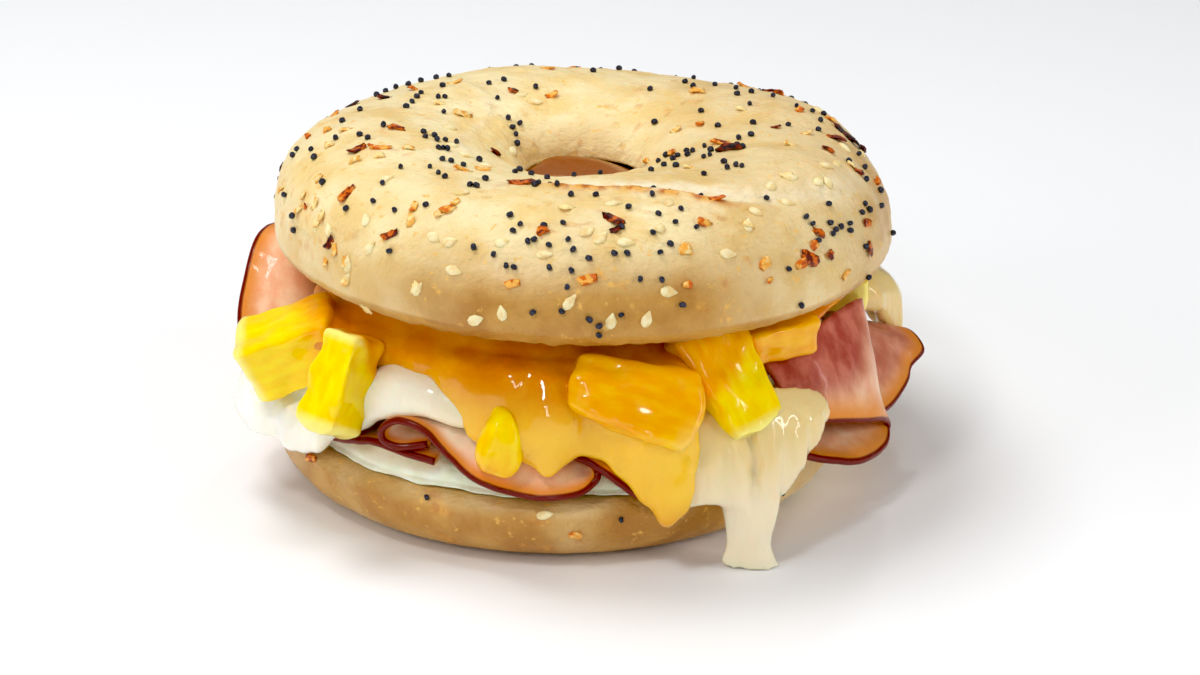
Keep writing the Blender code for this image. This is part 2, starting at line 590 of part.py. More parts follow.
def seed_shape(kind, draw):
    """One topping in millimetres, lying along +X with +Z up from the crust."""
    bm = bmesh.new()
    if kind == "onion":
        bmesh.ops.create_cube(bm, size=1.0)
        long = draw.uniform(2.8, 4.6)
        wide = draw.uniform(1.8, 3.0)
        thick = draw.uniform(1.1, 1.5)
        for v in bm.verts:
            torn = v.co + Vector([draw.uniform(-0.16, 0.16) for _ in range(3)])
            v.co = Vector((torn.x * long, torn.y * wide, torn.z * thick))
        return bm, thick
    bmesh.ops.create_icosphere(bm, subdivisions=1, radius=0.5)
    if kind == "sesame":
        long = draw.uniform(2.8, 3.4)
        wide = draw.uniform(1.8, 2.2)
        thick = 1.1
        for v in bm.verts:
            point = 1.0 - 0.75 * max(0.0, v.co.x)
            v.co = Vector((v.co.x * long, v.co.y * wide * point, v.co.z * thick))
        return bm, thick
    size = draw.uniform(1.15, 1.45)
    for v in bm.verts:
        v.co = Vector((v.co.x * size, v.co.y * size * 0.9, v.co.z * size * 0.85))
    return bm, size * 0.85


def scatter(host, counts, low, high, clear, seed):
    """Places on a crust for toppings, the largest first: kind, point and outward direction, in metres."""
    crust = surface_of(host)
    draw = random.Random(seed)
    taken = []
    for kind, count, reach in counts:
        placed = tries = 0
        while placed < count and tries < 6000:
            tries += 1
            bearing = draw.uniform(0, 360)
            radius = math.sqrt(draw.uniform(low**2, high**2))
            above = polar(bearing, min(radius, high - 0.4), 60) * MM
            aim = Vector((0, 0, -1))
            if radius > high - 2.5:
                above = polar(bearing, high + 30, draw.uniform(*clear)) * MM
                aim = (polar(bearing, 0, 0) - polar(bearing, 1, 0)).normalized()
            hit, normal, _, _ = crust.ray_cast(above, aim)
            if hit is None or normal.z < -0.15:
                continue
            if any((hit - p).length < (reach + r) * MM for p, r in taken):
                continue
            taken.append((hit, reach))
            placed += 1
            yield kind, hit, normal, draw


def fuse_toppings(host, counts, low, high, clear, seed):
    """Presses seeds and flakes into the crust and joins them to it as one solid."""
    group = bpy.data.collections.new("toppings_on_" + host.name)
    bpy.context.scene.collection.children.link(group)
    places = scatter(host, counts, low, high, clear, seed)
    for number, (kind, hit, normal, draw) in enumerate(places):
        bm, thick = seed_shape(kind, draw)
        turn = normal.to_track_quat("Z", "Y").to_matrix().to_4x4()
        spin = Matrix.Rotation(draw.uniform(0, 2 * math.pi), 4, "Z")
        lift = Matrix.Translation((0, 0, thick * (0.5 - SEED_SHARE_BURIED)))
        place = Matrix.Translation(hit / MM) @ turn @ spin @ lift
        bmesh.ops.transform(bm, matrix=place, verts=bm.verts)
        new_object(f"topping_{number}", bm, group)
    join = host.modifiers.new("toppings", "BOOLEAN")
    join.operation = "UNION"
    join.operand_type = "COLLECTION"
    join.collection = group
    join.solver = "MANIFOLD"
    apply_modifiers(host)
    for topping in list(group.objects):
        bpy.data.objects.remove(topping)
    bpy.data.collections.remove(group)
    keep_largest(host)
    lighten(host, longest=1.0, flat=3.0, tiny=0.08)


def tear_cutter(lid, cutters):
    """A thin bead along the tear, which cuts a shallow groove."""
    crust = surface_of(lid)
    points = [polar(b, s, 40) for b, s in TEAR]
    curve = bpy.data.curves.new("tear_bead", "CURVE")
    curve.dimensions = "3D"
    curve.bevel_depth = TEAR_HALF_WIDTH * MM
    curve.bevel_resolution = 0
    curve.use_fill_caps = True
    line = curve.splines.new("POLY")
    line.points.add(TEAR_STEPS)
    for k in range(TEAR_STEPS + 1):
        above = catmull(points, k / TEAR_STEPS) * MM
        hit, _, _, _ = crust.ray_cast(above, Vector((0, 0, -1)))
        line.points[k].co = (*(hit + Vector((0, 0, TEAR_LIFT * MM))), 1.0)
    tube = bpy.data.objects.new("tear_tube", curve)
    cutters.objects.link(tube)
    graph = bpy.context.evaluated_depsgraph_get()
    mesh = bpy.data.meshes.new_from_object(tube.evaluated_get(graph))
    bpy.data.objects.remove(tube)
    bm = bmesh.new()
    bm.from_mesh(mesh)
    bmesh.ops.remove_doubles(bm, verts=bm.verts, dist=1e-6)
    bmesh.ops.recalc_face_normals(bm, faces=bm.faces)
    bm.to_mesh(mesh)
    bm.free()
    made = bpy.data.objects.new("tear_cutter", mesh)
    made.hide_render = True
    made.display_type = "WIRE"
    cutters.objects.link(made)
    return made


def make_lid(part, cutters):
    """The seeded top half, with its torn crust."""
    lid = turned("bagel_top", lid_profile(), 46, part, "crust")
    lump(lid, *LID_LUMPS, 1)
    raise_sides(lid)
    solve(lid, tear_cutter(lid, cutters), "DIFFERENCE")
    fuse_toppings(lid, LID_TOPPINGS, *LID_TOPPED, 5)
    lid.data.transform(lid_place())
    return lid


def make_heel(part):
    """The bottom half, with the few seeds that show on its side."""
    heel = turned("bagel_bottom", heel_profile(), 42, part, "crust")
    lump(heel, *HEEL_LUMPS, 2)
    flatten_above(heel, HEEL_HEIGHT - 0.8, HEEL_HEIGHT)
    fuse_toppings(heel, HEEL_TOPPINGS, *HEEL_TOPPED, 11)
    return heel


def flatten_above(obj, low, high):
    """Puts the points of a cut face back on its plane."""
    for v in obj.data.vertices:
        if v.co.z > low * MM:
            v.co.z = high * MM
    obj.data.update()


def make_cream(part):
    """Cream cheese spread on the heel, with an uneven edge and no cover over the hole."""
    profile = [
        (47.6, HEEL_HEIGHT + 1.4), (46.8, HEEL_HEIGHT + GAP), (31.0, HEEL_HEIGHT + GAP),
        (15.6, HEEL_HEIGHT + GAP), (14.6, CREAM_TOP - 1.6), (16.4, CREAM_TOP), (31.0, CREAM_TOP),
        (43.5, CREAM_TOP), (46.4, CREAM_TOP - 0.9),
    ]
    cream = turned("cream_cheese", profile, 34, part, "cream_cheese")
    for v in cream.data.vertices:
        at = v.co / MM
        radius = math.hypot(at.x, at.y)
        if radius > 38:
            push = noise.noise(Vector((at.x / 11, at.y / 11, 3.0))) * 1.1
            v.co.x *= 1 + push / radius
            v.co.y *= 1 + push / radius
    return cream


def make_ham(part):
    """A folded stack in the middle and the slices that come out of it on every side."""
    profile = [
        (HAM_STACK_RADIUS + 0.8, 22.6), (HAM_STACK_RADIUS - 0.4, 20.6), (HAM_STACK_RADIUS + 0.6, 18.6),
        (HAM_STACK_RADIUS - 0.6, CREAM_TOP + GAP), (1.0, CREAM_TOP + GAP), (1.0, HAM_STACK_TOP),
        (HAM_STACK_RADIUS - 0.8, HAM_STACK_TOP),
    ]
    stack = turned_disc("ham_stack", profile, 24, part, "ham")
    rim_radius, rim_sway, rim_height, rim_wave = BACK_HAM_RIM
    middle_radius, middle_height, middle_wave = BACK_HAM_MIDDLE
    back = []
    for k in range(BACK_HAM_STEPS + 1):
        share = k / BACK_HAM_STEPS
        bearing = BACK_HAM_FROM + (BACK_HAM_TO - BACK_HAM_FROM) * share
        turn = BACK_HAM_WAVES * 2 * math.pi * share
        up = math.sin(turn)
        rim = polar(bearing, rim_radius + rim_sway * math.cos(turn), rim_height + rim_wave * up)
        middle = polar(bearing, middle_radius, middle_height + middle_wave * up)
        back.append([rim, middle, polar(bearing, *BACK_HAM_ROOT)])
    slices = {
        "ham_left": (HAM_LEFT, 20, 4),
        "ham_front": (HAM_FRONT, 24, 3),
        "ham_front_right": (HAM_FRONT_RIGHT, 12, 3),
        "ham_right_fold": (HAM_RIGHT_FOLD, 18, 4),
        "ham_right_back": (HAM_RIGHT_BACK, 16, 3),
        "ham_back": (back, 27, 2),
    }
    made = []
    for name, (net, along, across) in slices.items():
        made.append(plate(name, net, HAM_THICKNESS, along, across, part, "ham"))
    return stack, made


def turned_disc(name, profile, steps, collection, finish):
    """A turned disc: the profile's two points at radius 1 are drawn to the axis."""
    disc = turned(name, profile, steps, collection, finish)
    bm = bmesh.new()
    bm.from_mesh(disc.data)
    inner = [v for v in bm.verts if math.hypot(v.co.x, v.co.y) < 1.5 * MM]
    walls = {f for v in inner for f in v.link_faces if all(w in inner for w in f.verts)}
    bmesh.ops.delete(bm, geom=list(walls), context="FACES")
    bmesh.ops.holes_fill(bm, edges=[e for e in bm.edges if e.is_boundary])
    bmesh.ops.recalc_face_normals(bm, faces=bm.faces)
    bm.to_mesh(disc.data)
    bm.free()
    return disc


def make_white(part, cutters):
    """The melted white slice, the lobe over the right-hand ham and the strand down to the table."""
    heights = (WHITE_MIDDLE, WHITE_UNDER, CHEESE_THICKNESS)
    white = melted_sheet("white_cheese", WHITE_EDGE, *heights, part, "white_cheese")
    lobe_net = [[polar(b, s, z) for s, z in places] for b, places in WHITE_LOBE]
    lobe = plate("lobe", lobe_net, LOBE_THICKNESS, 8, 5, cutters, None)
    drip = stacked("drip", DRIP, 12, cutters, None)
    for extra in (lobe, drip):
        solve(white, extra, "UNION")
        bpy.data.objects.remove(extra)
    return white


def make_cheddar(part):
    """The melted cheddar: it fills the lid's hollow and runs down the front in two drips."""
    heights = (CHEDDAR_MIDDLE, CHEDDAR_UNDER, CHEESE_THICKNESS)
    return melted_sheet("cheddar_cheese", CHEDDAR_EDGE, *heights, part, "cheddar", CHEDDAR_CROWN)


def centre_on_table(nodes):
    """Moves the whole so that the middle of its box is at x = 0 and y = 0, and its foot at z = 0."""
    corners = np.array([v.co for node in nodes for v in node.data.vertices])
    low, high = corners.min(0), corners.max(0)
    shift = Matrix.Translation((-(low[0] + high[0]) / 2, -(low[1] + high[1]) / 2, -low[2]))
    for node in nodes:
        node.data.transform(shift)


def main():
    for obj in list(bpy.data.objects):
        bpy.data.objects.remove(obj)
    part = bpy.data.collections.new("bagel_sandwich")
    cutters = bpy.data.collections.new("cutters")
    for group in (part, cutters):
        bpy.context.scene.collection.children.link(group)

    heel = make_heel(part)
    lid = make_lid(part, cutters)
    cream = make_cream(part)
    stack, ham = make_ham(part)
    white = make_white(part, cutters)
    cheddar = make_cheddar(part)
    fruit = [pineapple_piece(f"pineapple_{k + 1}", spec, part) for k, spec in enumerate(PINEAPPLE)]

    left, front, front_right, right_fold, right_back, back = ham
    make_room(front_right, [front], cutters)
    make_room(right_back, [right_fold], cutters)
    make_room(back, [left, right_back], cutters)
    make_room(left, [front], cutters)
    make_room(right_fold, [front_right], cutters)
    for slice_ in ham:
        make_room(slice_, [stack, cream], cutters)
    for slice_ in ham:
        make_room(slice_, fruit, cutters)
        lighten(slice_)
    make_room(fruit[4], [fruit[3]], cutters)
    make_room(white, [*fruit, *ham, stack], cutters)
    lighten(white)
    make_room(cheddar, [white, *fruit, *ham], cutters)
    lighten(cheddar, flat=4.0)

    nodes = [heel, lid, cream, stack, *ham, white, cheddar, *fruit]
    centre_on_table(nodes)
    for node in nodes:
        node.data.shade_smooth()
        node.data.set_sharp_from_angle(angle=math.radians(40))


main()
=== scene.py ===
# %% [markdown]
# # A bagel sandwich, dressed layer by layer
#
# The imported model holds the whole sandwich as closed, light solids. This lesson gives each layer its
# real surface: crust with seeds, spread cheese, folded ham, melted cheese and wet fruit. A finer piece
# of the same form stands for each solid, so nothing changes place or size. We load the solids and
# keep their box, to compare it with ours at the end.

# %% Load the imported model
import json
import math
import random

import bmesh
import bpy
import numpy as np
from mathutils import Euler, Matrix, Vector, noise
from mathutils.bvhtree import BVHTree

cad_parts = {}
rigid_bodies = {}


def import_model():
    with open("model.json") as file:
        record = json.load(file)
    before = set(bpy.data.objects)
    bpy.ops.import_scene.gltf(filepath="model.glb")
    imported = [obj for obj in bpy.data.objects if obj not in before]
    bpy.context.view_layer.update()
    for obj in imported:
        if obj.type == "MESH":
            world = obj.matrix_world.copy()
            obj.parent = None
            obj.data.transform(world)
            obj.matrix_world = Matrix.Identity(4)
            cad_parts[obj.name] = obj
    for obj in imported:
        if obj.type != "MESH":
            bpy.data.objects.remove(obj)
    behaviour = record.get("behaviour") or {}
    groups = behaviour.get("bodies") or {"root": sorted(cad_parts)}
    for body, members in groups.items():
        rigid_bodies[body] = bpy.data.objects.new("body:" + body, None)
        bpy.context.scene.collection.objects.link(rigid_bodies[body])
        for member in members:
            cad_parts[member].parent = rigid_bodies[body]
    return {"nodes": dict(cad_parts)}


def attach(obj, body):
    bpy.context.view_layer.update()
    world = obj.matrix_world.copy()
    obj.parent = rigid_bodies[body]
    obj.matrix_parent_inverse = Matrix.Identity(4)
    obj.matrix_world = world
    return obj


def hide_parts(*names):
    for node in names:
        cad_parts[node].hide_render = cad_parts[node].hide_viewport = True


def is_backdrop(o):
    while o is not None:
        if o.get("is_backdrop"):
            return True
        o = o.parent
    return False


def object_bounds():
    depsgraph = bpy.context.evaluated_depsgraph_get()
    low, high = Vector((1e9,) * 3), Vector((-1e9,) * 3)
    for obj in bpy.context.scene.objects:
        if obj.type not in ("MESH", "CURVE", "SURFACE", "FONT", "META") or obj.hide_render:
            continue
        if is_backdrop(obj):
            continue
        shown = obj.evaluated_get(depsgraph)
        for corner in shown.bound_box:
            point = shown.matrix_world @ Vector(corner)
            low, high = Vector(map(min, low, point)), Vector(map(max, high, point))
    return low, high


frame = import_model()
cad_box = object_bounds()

MM = 0.001
print("box of the solids", cad_box)

# %% [markdown]
# All sizes are in millimetres, measured from the middle of the bottom half, because the bagel was
# turned round that point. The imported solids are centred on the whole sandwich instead. The flat foot
# of the bottom half is a true circle, so the middle of its box tells us where our zero lies.

# %% Where the middle of the bottom half is
ON_THE_TABLE = 0.01 * MM  # points lower than this belong to the foot
heel_points = [v.co for v in frame["nodes"]["bagel_bottom"].data.vertices]
foot = np.array([co for co in heel_points if co.z < ON_THE_TABLE])
HEEL_MIDDLE = (foot.min(0) + foot.max(0)) / 2
print("middle of the bottom half, mm", (HEEL_MIDDLE / MM).round(3))

# %% [markdown]
# Every piece is made the same way: a mesh from points in millimetres, which also carries a number or a
# vector at each point for its finish to read. Each then rides on the sandwich's one body, and the solid
# that it stands for is hidden.

# %% Helpers that make and dress a piece


def new_piece(name, points, faces, slot, nodes=(), **values):
    """A smooth object from points in millimetres, with one number per point for each named value."""
    mesh = bpy.data.meshes.new(name)
    mesh.from_pydata((np.asarray(points) * MM + HEEL_MIDDLE).tolist(), [], faces)
    bm = bmesh.new()
    bm.from_mesh(mesh)
    bmesh.ops.recalc_face_normals(bm, faces=bm.faces)
    bm.to_mesh(mesh)
    bm.free()
    for key, numbers in values.items():
        numbers = np.asarray(numbers, dtype=np.float32)
        kind, field = ("FLOAT_VECTOR", "vector") if numbers.ndim == 2 else ("FLOAT", "value")
        mesh.attributes.new(key, kind, "POINT").data.foreach_set(field, numbers.ravel())
    mesh.shade_smooth()
    piece = bpy.data.objects.new(name, mesh)
    bpy.context.scene.collection.objects.link(piece)
    if slot:
        dress(piece, slot, nodes)
    return piece


def dress(piece, slot, nodes=()):
    """Lets a piece ride with the sandwich, gives it its material slot and hides the solids that it stands
    for.
    """
    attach(piece, "root")
    if nodes:
        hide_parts(*nodes)
    piece.data.materials.clear()
    piece.data.materials.append(bpy.data.materials.get(slot) or bpy.data.materials.new(slot))
    print(f"{piece.name}: {len(piece.data.polygons)} faces")


# %% [markdown]
# ## Light, table and camera
#
# The sandwich was taken in a bright, high-key studio, on a table that is almost pure white, with a weak
# soft shadow on the right. We set this up first, because every colour after it is judged in this light.
# The Standard view keeps the bright yellows clean. The camera's height and distance are the ones at
# which the outlines of both halves fall where the picture has them.

# %% View and camera
scene = bpy.context.scene
BLACK_LEVEL = 0.018  # takes a thin veil off the darks
view = scene.view_settings
view.view_transform = "Standard"
view.use_curve_mapping = True
view.curve_mapping.black_level = (BLACK_LEVEL, BLACK_LEVEL, BLACK_LEVEL)
view.curve_mapping.update()
PHOTO_WIDE, PHOTO_HIGH = 1200, 675
LENS, SENSOR = 100.0, 36.0
FOCAL = LENS / SENSOR * PHOTO_WIDE

camera_data = bpy.data.cameras.new("camera")
camera_data.lens = LENS
camera_data.sensor_width = SENSOR
camera = bpy.data.objects.new("camera", camera_data)
scene.collection.objects.link(camera)
CAMERA_TARGET = Vector((2.80, -0.38, 21.51)) * MM
CAMERA_DISTANCE, CAMERA_ELEVATION = 590.87 * MM, math.radians(22.53)
camera.rotation_euler = (math.pi / 2 - CAMERA_ELEVATION, 0, 0)
camera.location = CAMERA_TARGET + CAMERA_DISTANCE * Vector(
    (0, -math.cos(CAMERA_ELEVATION), math.sin(CAMERA_ELEVATION))
)
scene.camera = camera
print("camera at", [round(c, 4) for c in camera.location])


def sight(x, y):
    """The direction from the camera through a place in the picture."""
    way = Vector(((x - PHOTO_WIDE / 2) / FOCAL, (PHOTO_HIGH / 2 - y) / FOCAL, -1))
    return (camera.rotation_euler.to_matrix() @ way).normalized()


def picked(text):
    """The numbers of a list of places."""
    return [[float(n) for n in item.split(",")] for item in text.split()]


# %% [markdown]
# Large lights fill from above, left and right. They don't show in wet surfaces, where they would leave
# big pale squares. The small lamps and the two upright strips do show: they draw the sharp glints that
# tell the eye that the cheese and the fruit are wet.

# %% Lamps
AIM = Vector((0, 0, 0.03))
STRIP_HEIGHT = 0.50
# Name, place in metres, size, watts and whether it shows in wet surfaces
LAMPS = [
    ("key", (-0.25, 0.14, 0.68), 0.30, 2.75, False),
    ("left", (-0.66, -0.36, 0.36), 0.40, 1.5, False),
    ("front", (-0.10, -0.75, 0.50), 0.07, 0.35, True),
    ("front_strip", (-0.02, -0.80, 0.30), 0.035, 0.5, True),
    ("right_strip", (0.74, -0.30, 0.28), 0.035, 0.6, True),
    ("right", (0.72, -0.14, 0.34), 0.40, 1.7, False),
    ("glint", (-0.22, -0.34, 0.62), 0.10, 0.9, True),
    ("rear_glint", (0.10, 0.45, 0.55), 0.05, 0.3, True),
]


def area_light(name, where, size, watts, mirrored):
    """A soft light that faces the sandwich: square, or an upright strip where its name says so."""
    data = bpy.data.lights.new(name, "AREA")
    data.size = size
    data.energy = watts
    if name.endswith("strip"):
        data.shape, data.size_y = "RECTANGLE", STRIP_HEIGHT
    lamp = bpy.data.objects.new(name, data)
    lamp.visible_glossy = mirrored
    lamp.location = where
    lamp.rotation_euler = (AIM - Vector(where)).to_track_quat("-Z", "Y").to_euler()
    scene.collection.objects.link(lamp)


for lamp_values in LAMPS:
    area_light(*lamp_values)
print(len(LAMPS), "lamps")

# %% The white surroundings and the table
WORLD_STRENGTH = 0.25
world = bpy.data.worlds.new("studio")
world.use_nodes = True
background = world.node_tree.nodes["Background"]
background.inputs["Color"].default_value = (1, 1, 1, 1)
background.inputs["Strength"].default_value = WORLD_STRENGTH
scene.world = world

TABLE_REACH = 2.5
table_corners = [(x * TABLE_REACH, y * TABLE_REACH, 0) for x, y in ((-1, -1), (1, -1), (1, 1), (-1, 1))]
table_mesh = bpy.data.meshes.new("table")
table_mesh.from_pydata(table_corners, [], [(0, 1, 2, 3)])
table = bpy.data.objects.new("table", table_mesh)
scene.collection.objects.link(table)
table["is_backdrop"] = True
print("table", 2 * TABLE_REACH, "m wide")

# %% [markdown]
# ## Finishes
#
# Food is never one flat colour. Each finish here mixes a few colours by soft noise at the size of the
# real mottling, and by values that the pieces carry: how baked, how torn, how near the rind. The noise
# reads Object coordinates, or on the fruit's fibres a place that each point carries, so it stays put
# when the view changes. Fat, cheese and fruit let light in a little, which is what Subsurface does.

# %% Helpers for building a finish


def rgb(red, green, blue):
    """A colour given as the eye sees it on a screen, 0 to 255, as the linear values that nodes take."""

    def linear(c):
        return ((c / 255 + 0.055) / 1.055) ** 2.4 if c > 10 else c / 255 / 12.92

    return (linear(red), linear(green), linear(blue), 1.0)


def add(tree, kind, inputs=None, **settings):
    """A node with its settings; an input is a plain value or another node's output."""
    made = tree.nodes.new(kind)
    for key, value in settings.items():
        setattr(made, key, value)
    for key, value in (inputs or {}).items():
        if isinstance(value, bpy.types.NodeSocket):
            tree.links.new(value, made.inputs[key])
        else:
            made.inputs[key].default_value = value
    return made


def start_finish(name, **sockets):
    """A material with its constant values set on the shader's own sockets."""
    made = bpy.data.materials.get(name) or bpy.data.materials.new(name)
    made.use_nodes = True
    shader = made.node_tree.nodes["Principled BSDF"]
    for key, value in sockets.items():
        shader.inputs[key.replace("_", " ")].default_value = value
    return made.node_tree, shader


def mottle(tree, size, detail=3.0, stretch=(1, 1, 1), source=None):
    """Soft noise whose blots are about size millimetres wide."""
    if source is None:
        source = add(tree, "ShaderNodeTexCoord").outputs["Object"]
        scale = [s / (size * MM) for s in stretch]
    else:
        scale = [s / size for s in stretch]
    placed = add(tree, "ShaderNodeMapping", {"Vector": source, "Scale": scale})
    inputs = {"Vector": placed.outputs[0], "Scale": 1.0, "Detail": detail}
    return add(tree, "ShaderNodeTexNoise", inputs).outputs[0]


def step(tree, value, low, high):
    """A smooth step from 0 to 1 of a value from low to high."""
    inputs = {"Value": value, "From Min": low, "From Max": high}
    return add(tree, "ShaderNodeMapRange", inputs, interpolation_type="SMOOTHSTEP").outputs[0]


def carried(tree, name):
    """A value that the piece carries at each point."""
    return add(tree, "ShaderNodeAttribute", attribute_name=name).outputs["Fac"]


# Where the Mix node keeps its share, its two colours and the mixed colour
MIX_SHARE, MIX_A, MIX_B, MIXED = 0, 6, 7, 2


def blend(tree, share, a, b):
    """Colour b laid over colour a by a share from 0 to 1."""
    made = add(tree, "ShaderNodeMix", {MIX_SHARE: share, MIX_A: a, MIX_B: b}, data_type="RGBA")
    return made.outputs[MIXED]


def times(tree, a, b, what="MULTIPLY"):
    """Two values multiplied, or joined by another operation."""
    return add(tree, "ShaderNodeMath", {0: a, 1: b}, operation=what).outputs[0]


def blots(tree, pattern, low, high, a, b):
    """Two colours mixed by a pattern: the first below low, the second above high."""
    return blend(tree, step(tree, pattern, low, high), rgb(*a), rgb(*b))


def relief(tree, shader, heights, strength, deep):
    """Fine relief from one or more heights, laid over each other; deep is in millimetres."""
    normal = None
    for height in heights:
        inputs = {"Height": height, "Strength": strength, "Distance": deep * MM}
        if normal:
            inputs["Normal"] = normal
        normal = add(tree, "ShaderNodeBump", inputs).outputs[0]
    tree.links.new(normal, shader.inputs["Normal"])


def paint(tree, shader, colour, heights, strength, deep):
    """Puts the mixed colour and the relief on the shader."""
    tree.links.new(colour, shader.inputs["Base Color"])
    relief(tree, shader, heights, strength, deep)
    print("finish mixed from", len(tree.nodes), "nodes")


# %% [markdown]
# The crust is palest on the crown and tan low on the side, partly as painted shade, and has golden flecks
# of dried onion baked in. Where it tore, the dry white crumb shows with a toasted edge.

# %% The crust's finish
tree, shader = start_finish(
    "crust", Roughness=0.5, Subsurface_Weight=0.12, Subsurface_Scale=0.0015, Specular_IOR_Level=0.4,
    Coat_Weight=0.2, Coat_Roughness=0.25,
)
patches = mottle(tree, 9.0, 4.0)
specks = mottle(tree, 1.5, 3.0)
crown = blots(tree, patches, 0.38, 0.66, (246, 227, 176), (240, 209, 140))
side = blots(tree, patches, 0.35, 0.65, (201, 152, 76), (180, 126, 54))
# The share mixes baked tan and painted shade; on the bottom half, paler on the right is painted light
colour = blend(tree, carried(tree, "bake"), crown, side)
flecks = times(tree, step(tree, specks, 0.60, 0.70), step(tree, mottle(tree, 6.0), 0.45, 0.62))
colour = blend(tree, times(tree, flecks, 0.75), colour, rgb(238, 188, 96))
toast = blots(tree, mottle(tree, 1.8), 0.42, 0.6, (232, 170, 74), (190, 108, 36))
colour = blend(tree, carried(tree, "gold"), colour, toast)
crumb = blots(tree, mottle(tree, 2.0), 0.4, 0.65, (246, 234, 204), (238, 220, 178))
# The crumb colour also paints the highlight along the folded scrap behind the hole
colour = blend(tree, carried(tree, "torn"), colour, crumb)
paint(tree, shader, colour, [mottle(tree, 2.4, 5.0), mottle(tree, 1.0, 2.0, (1, 1.8, 1))], 0.8, 0.4)

# %% [markdown]
# Cream cheese is nearly white and matt. Ham is pink with a dark smoked rind, and browns towards it. Its
# slices carry the distance from the rind, how deep red the meat is and how pale, the pale partly painted
# light. The stack inside never shows and gets plain meat.

# %% Cream cheese
tree, shader = start_finish(
    "cream_cheese", Roughness=0.42, Subsurface_Weight=0.25, Subsurface_Scale=0.002, Specular_IOR_Level=0.4
)
colour = blots(tree, mottle(tree, 5.0), 0.35, 0.65, (246, 252, 232), (232, 238, 210))
paint(tree, shader, colour, [mottle(tree, 3.0), mottle(tree, 0.8)], 0.35, 0.3)

# %% Ham
tree, shader = start_finish(
    "ham", Roughness=0.34, Subsurface_Weight=0.18, Subsurface_Scale=0.0015, Specular_IOR_Level=0.25,
    Coat_Weight=0.25, Coat_Roughness=0.08,
)
rind = carried(tree, "rind")
streaks = mottle(tree, 3.0, 4.0, (1.0, 1.0, 0.35))
meat = blots(tree, streaks, 0.35, 0.68, (242, 178, 138), (250, 208, 170))
deep = blots(tree, streaks, 0.35, 0.68, (172, 76, 62), (208, 122, 102))
meat = blend(tree, carried(tree, "deep"), meat, deep)
# Pale where cheese lies over the meat; towards the front of the left slice the pale is painted light
meat = blend(tree, carried(tree, "pale"), meat, rgb(252, 232, 208))
browned = blend(tree, step(tree, rind, 1.0, 6.5), rgb(228, 146, 64), meat)
colour = blend(tree, step(tree, rind, 0.55, 1.05), rgb(112, 24, 12), browned)
paint(tree, shader, colour, [mottle(tree, 2.2), mottle(tree, 0.5)], 0.35, 0.2)

tree, shader = start_finish("ham_inside", Roughness=0.4, Subsurface_Weight=0.15, Subsurface_Scale=0.0015)
colour = blots(tree, mottle(tree, 3.0, 4.0), 0.35, 0.68, (236, 164, 130), (248, 200, 168))
paint(tree, shader, colour, [mottle(tree, 2.2)], 0.35, 0.2)

# %% [markdown]
# The melted cheeses are smooth, glossy and let light in. The white one is warmer where it lies thick, at
# the right. The cheddar is deep orange where it is thick under the lid, deepened there by painted shade,
# yellow where it runs thin, and dark brown in the lid's hole, which is painted shade. Ripe pineapple is
# wet, yellow and fibrous, and the pieces that touch the cheddar wear a thin coat of it.

# %% Melted cheeses
tree, shader = start_finish(
    "white_cheese", Roughness=0.3, Subsurface_Weight=0.3, Subsurface_Scale=0.003, Specular_IOR_Level=0.3,
    Coat_Weight=1.0, Coat_Roughness=0.05,
)
colour = blots(tree, mottle(tree, 8.0), 0.35, 0.65, (255, 254, 246), (254, 249, 232))
colour = blend(tree, carried(tree, "warm"), colour, rgb(236, 208, 138))
runs = [mottle(tree, 2.8, 2.0, (1, 1, 0.4)), mottle(tree, 1.2, 2.0, (1, 1, 0.3))]
paint(tree, shader, colour, runs, 0.5, 0.4)

tree, shader = start_finish(
    "cheddar", Roughness=0.4, Subsurface_Weight=0.15, Subsurface_Scale=0.003, Specular_IOR_Level=0.1,
    Coat_Weight=1.0, Coat_Roughness=0.04,
)
# Deep orange where thick under the lid, partly painted shade there; yellow where it runs thin
colour = blend(tree, carried(tree, "thin"), rgb(214, 124, 0), rgb(252, 202, 52))
clouds = times(tree, step(tree, mottle(tree, 7.0), 0.4, 0.7), 0.35)
colour = blend(tree, clouds, colour, rgb(246, 186, 24))
# Dark brown in the lid's hole: painted shade
colour = blend(tree, carried(tree, "cooked"), colour, rgb(150, 82, 16))
paint(tree, shader, colour, [mottle(tree, 4.0, 2.0), mottle(tree, 1.6, 2.0)], 0.5, 0.5)

# %% Pineapple
tree, shader = start_finish(
    "pineapple", Roughness=0.28, Subsurface_Weight=0.2, Subsurface_Scale=0.002, Specular_IOR_Level=0.15,
    Coat_Weight=0.7, Coat_Roughness=0.05,
)
grain = add(tree, "ShaderNodeAttribute", attribute_name="grain").outputs["Vector"]
fibres = mottle(tree, 1.8, 5.0, (0.4, 1.0, 1.0), grain)
flesh = blots(tree, fibres, 0.3, 0.75, (254, 212, 0), (255, 230, 20))
flesh = blend(tree, times(tree, carried(tree, "ends"), 0.8), flesh, rgb(255, 242, 140))
coating = blots(tree, fibres, 0.35, 0.7, (246, 168, 6), (252, 190, 28))
colour = blend(tree, carried(tree, "coat"), flesh, coating)
paint(tree, shader, colour, [fibres, mottle(tree, 2.0, 2.0)], 0.4, 0.35)

# %% [markdown]
# The toppings: blue-black poppy seeds, ivory sesame and onion flakes from pale to charred. Each flake
# carries its own tone, from below 0, pale, to 1, black. The table gets its cool white here too.

# %% Seeds, onion and the table
tree, shader = start_finish("poppy_seed", Roughness=0.5)
colour = blots(tree, mottle(tree, 0.35), 0.4, 0.65, (30, 32, 44), (66, 68, 84))
paint(tree, shader, colour, [mottle(tree, 0.25)], 0.6, 0.15)

tree, shader = start_finish("sesame_seed", Roughness=0.4, Subsurface_Weight=0.15, Subsurface_Scale=0.001)
colour = blots(tree, mottle(tree, 1.6), 0.4, 0.65, (248, 232, 182), (234, 204, 138))
paint(tree, shader, colour, [mottle(tree, 0.6)], 0.4, 0.15)

